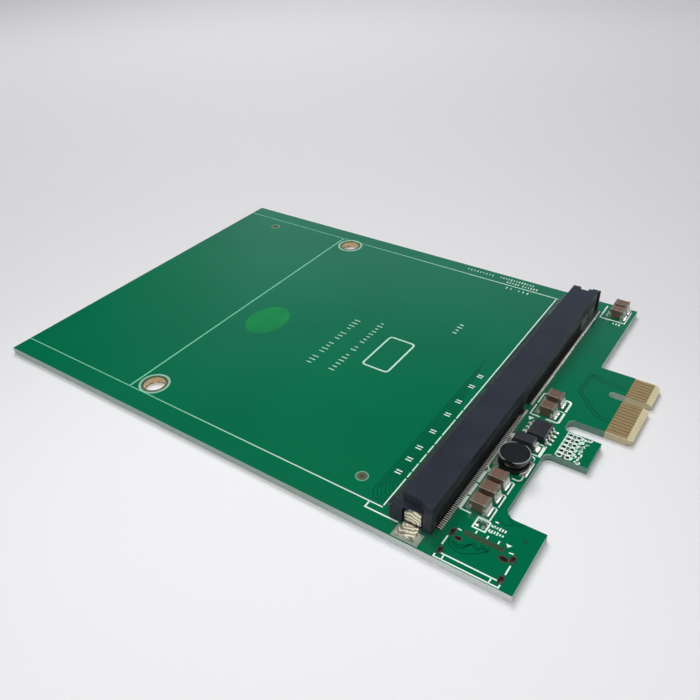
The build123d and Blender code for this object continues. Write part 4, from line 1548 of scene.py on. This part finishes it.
class RISER_OT_parts(bpy.types.Operator):
    """Finishes the small parts, winds the inductor and solders the parts down"""
    bl_idname = "riser.parts"
    bl_label = "Small parts"

    def execute(self, context):
        for row in ("supply", "output", "corner"):
            dress(f"{row}_capacitor_bodies", ceramic_material(), 0.1, 3)
            dress(f"{row}_capacitor_ends", end_material(), 0.1, 3)
        dress("resistor_bodies", moulding_material(), 0.02)
        dress("resistor_ends", tin_material(), 0.02)
        dress("diode_body", moulding_material(), 0.08, 3)
        dress("diode_terminals", foot_solder_material(), 0.03)
        dress("regulator_body", moulding_material(), 0.06, 3)
        dress("regulator_leads", foot_solder_material(), 0.03)
        dress("inductor_core", ferrite_material(), 0.2, 4)
        dress("inductor_terminals", tin_material(), 0.04)
        build_winding()
        build_part_solder()
        return {"FINISHED"}


class RISER_OT_stage(bpy.types.Operator):
    """Adds the floor, the lights, the surroundings and the camera"""
    bl_idname = "riser.stage"
    bl_label = "Stage"

    def execute(self, context):
        stage = settings("riser_stage")
        build_floor()
        build_light("key_light", *KEY_LIGHT, stage.key_power)
        build_light("fill_light", *FILL_LIGHT, stage.fill_power)
        build_world()
        build_camera()
        context.scene.view_settings.view_transform = "Standard"
        return {"FINISHED"}


class RISER_PT_panel(bpy.types.Panel):
    """Settings and builders of the riser card"""
    bl_idname = "RISER_PT_panel"
    bl_label = "Riser card"
    bl_space_type = "VIEW_3D"
    bl_region_type = "UI"
    bl_category = "Riser card"

    def draw(self, context):
        groups = ("riser_board", "riser.board"), ("riser_metal", "riser.connector"), \
            ("riser_parts", "riser.parts"), ("riser_stage", "riser.stage")
        for name, operator in groups:
            box = self.layout.box()
            values = getattr(context.scene, name)
            for key in values.__annotations__:
                box.prop(values, key)
            box.operator(operator)


CLASSES = (
    RiserBoardSettings, RiserMetalSettings, RiserPartSettings, RiserStageSettings,
    RISER_OT_board, RISER_OT_connector, RISER_OT_parts, RISER_OT_stage, RISER_PT_panel,
)


def register():
    """Registers the classes and puts their settings on the scene."""
    for made in CLASSES:
        bpy.utils.register_class(made)
    for name, group in SETTINGS.items():
        setattr(bpy.types.Scene, name, bpy.props.PointerProperty(type=group))


def unregister():
    """Takes the settings and the classes away again."""
    for name in SETTINGS:
        delattr(bpy.types.Scene, name)
    for made in reversed(CLASSES):
        bpy.utils.unregister_class(made)


def main():
    """Builds everything in order and writes the two boxes."""
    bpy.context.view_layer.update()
    register()
    bpy.ops.riser.board()
    bpy.ops.riser.connector()
    bpy.ops.riser.parts()
    bpy.ops.riser.stage()


if __name__ == "__main__":
    main()
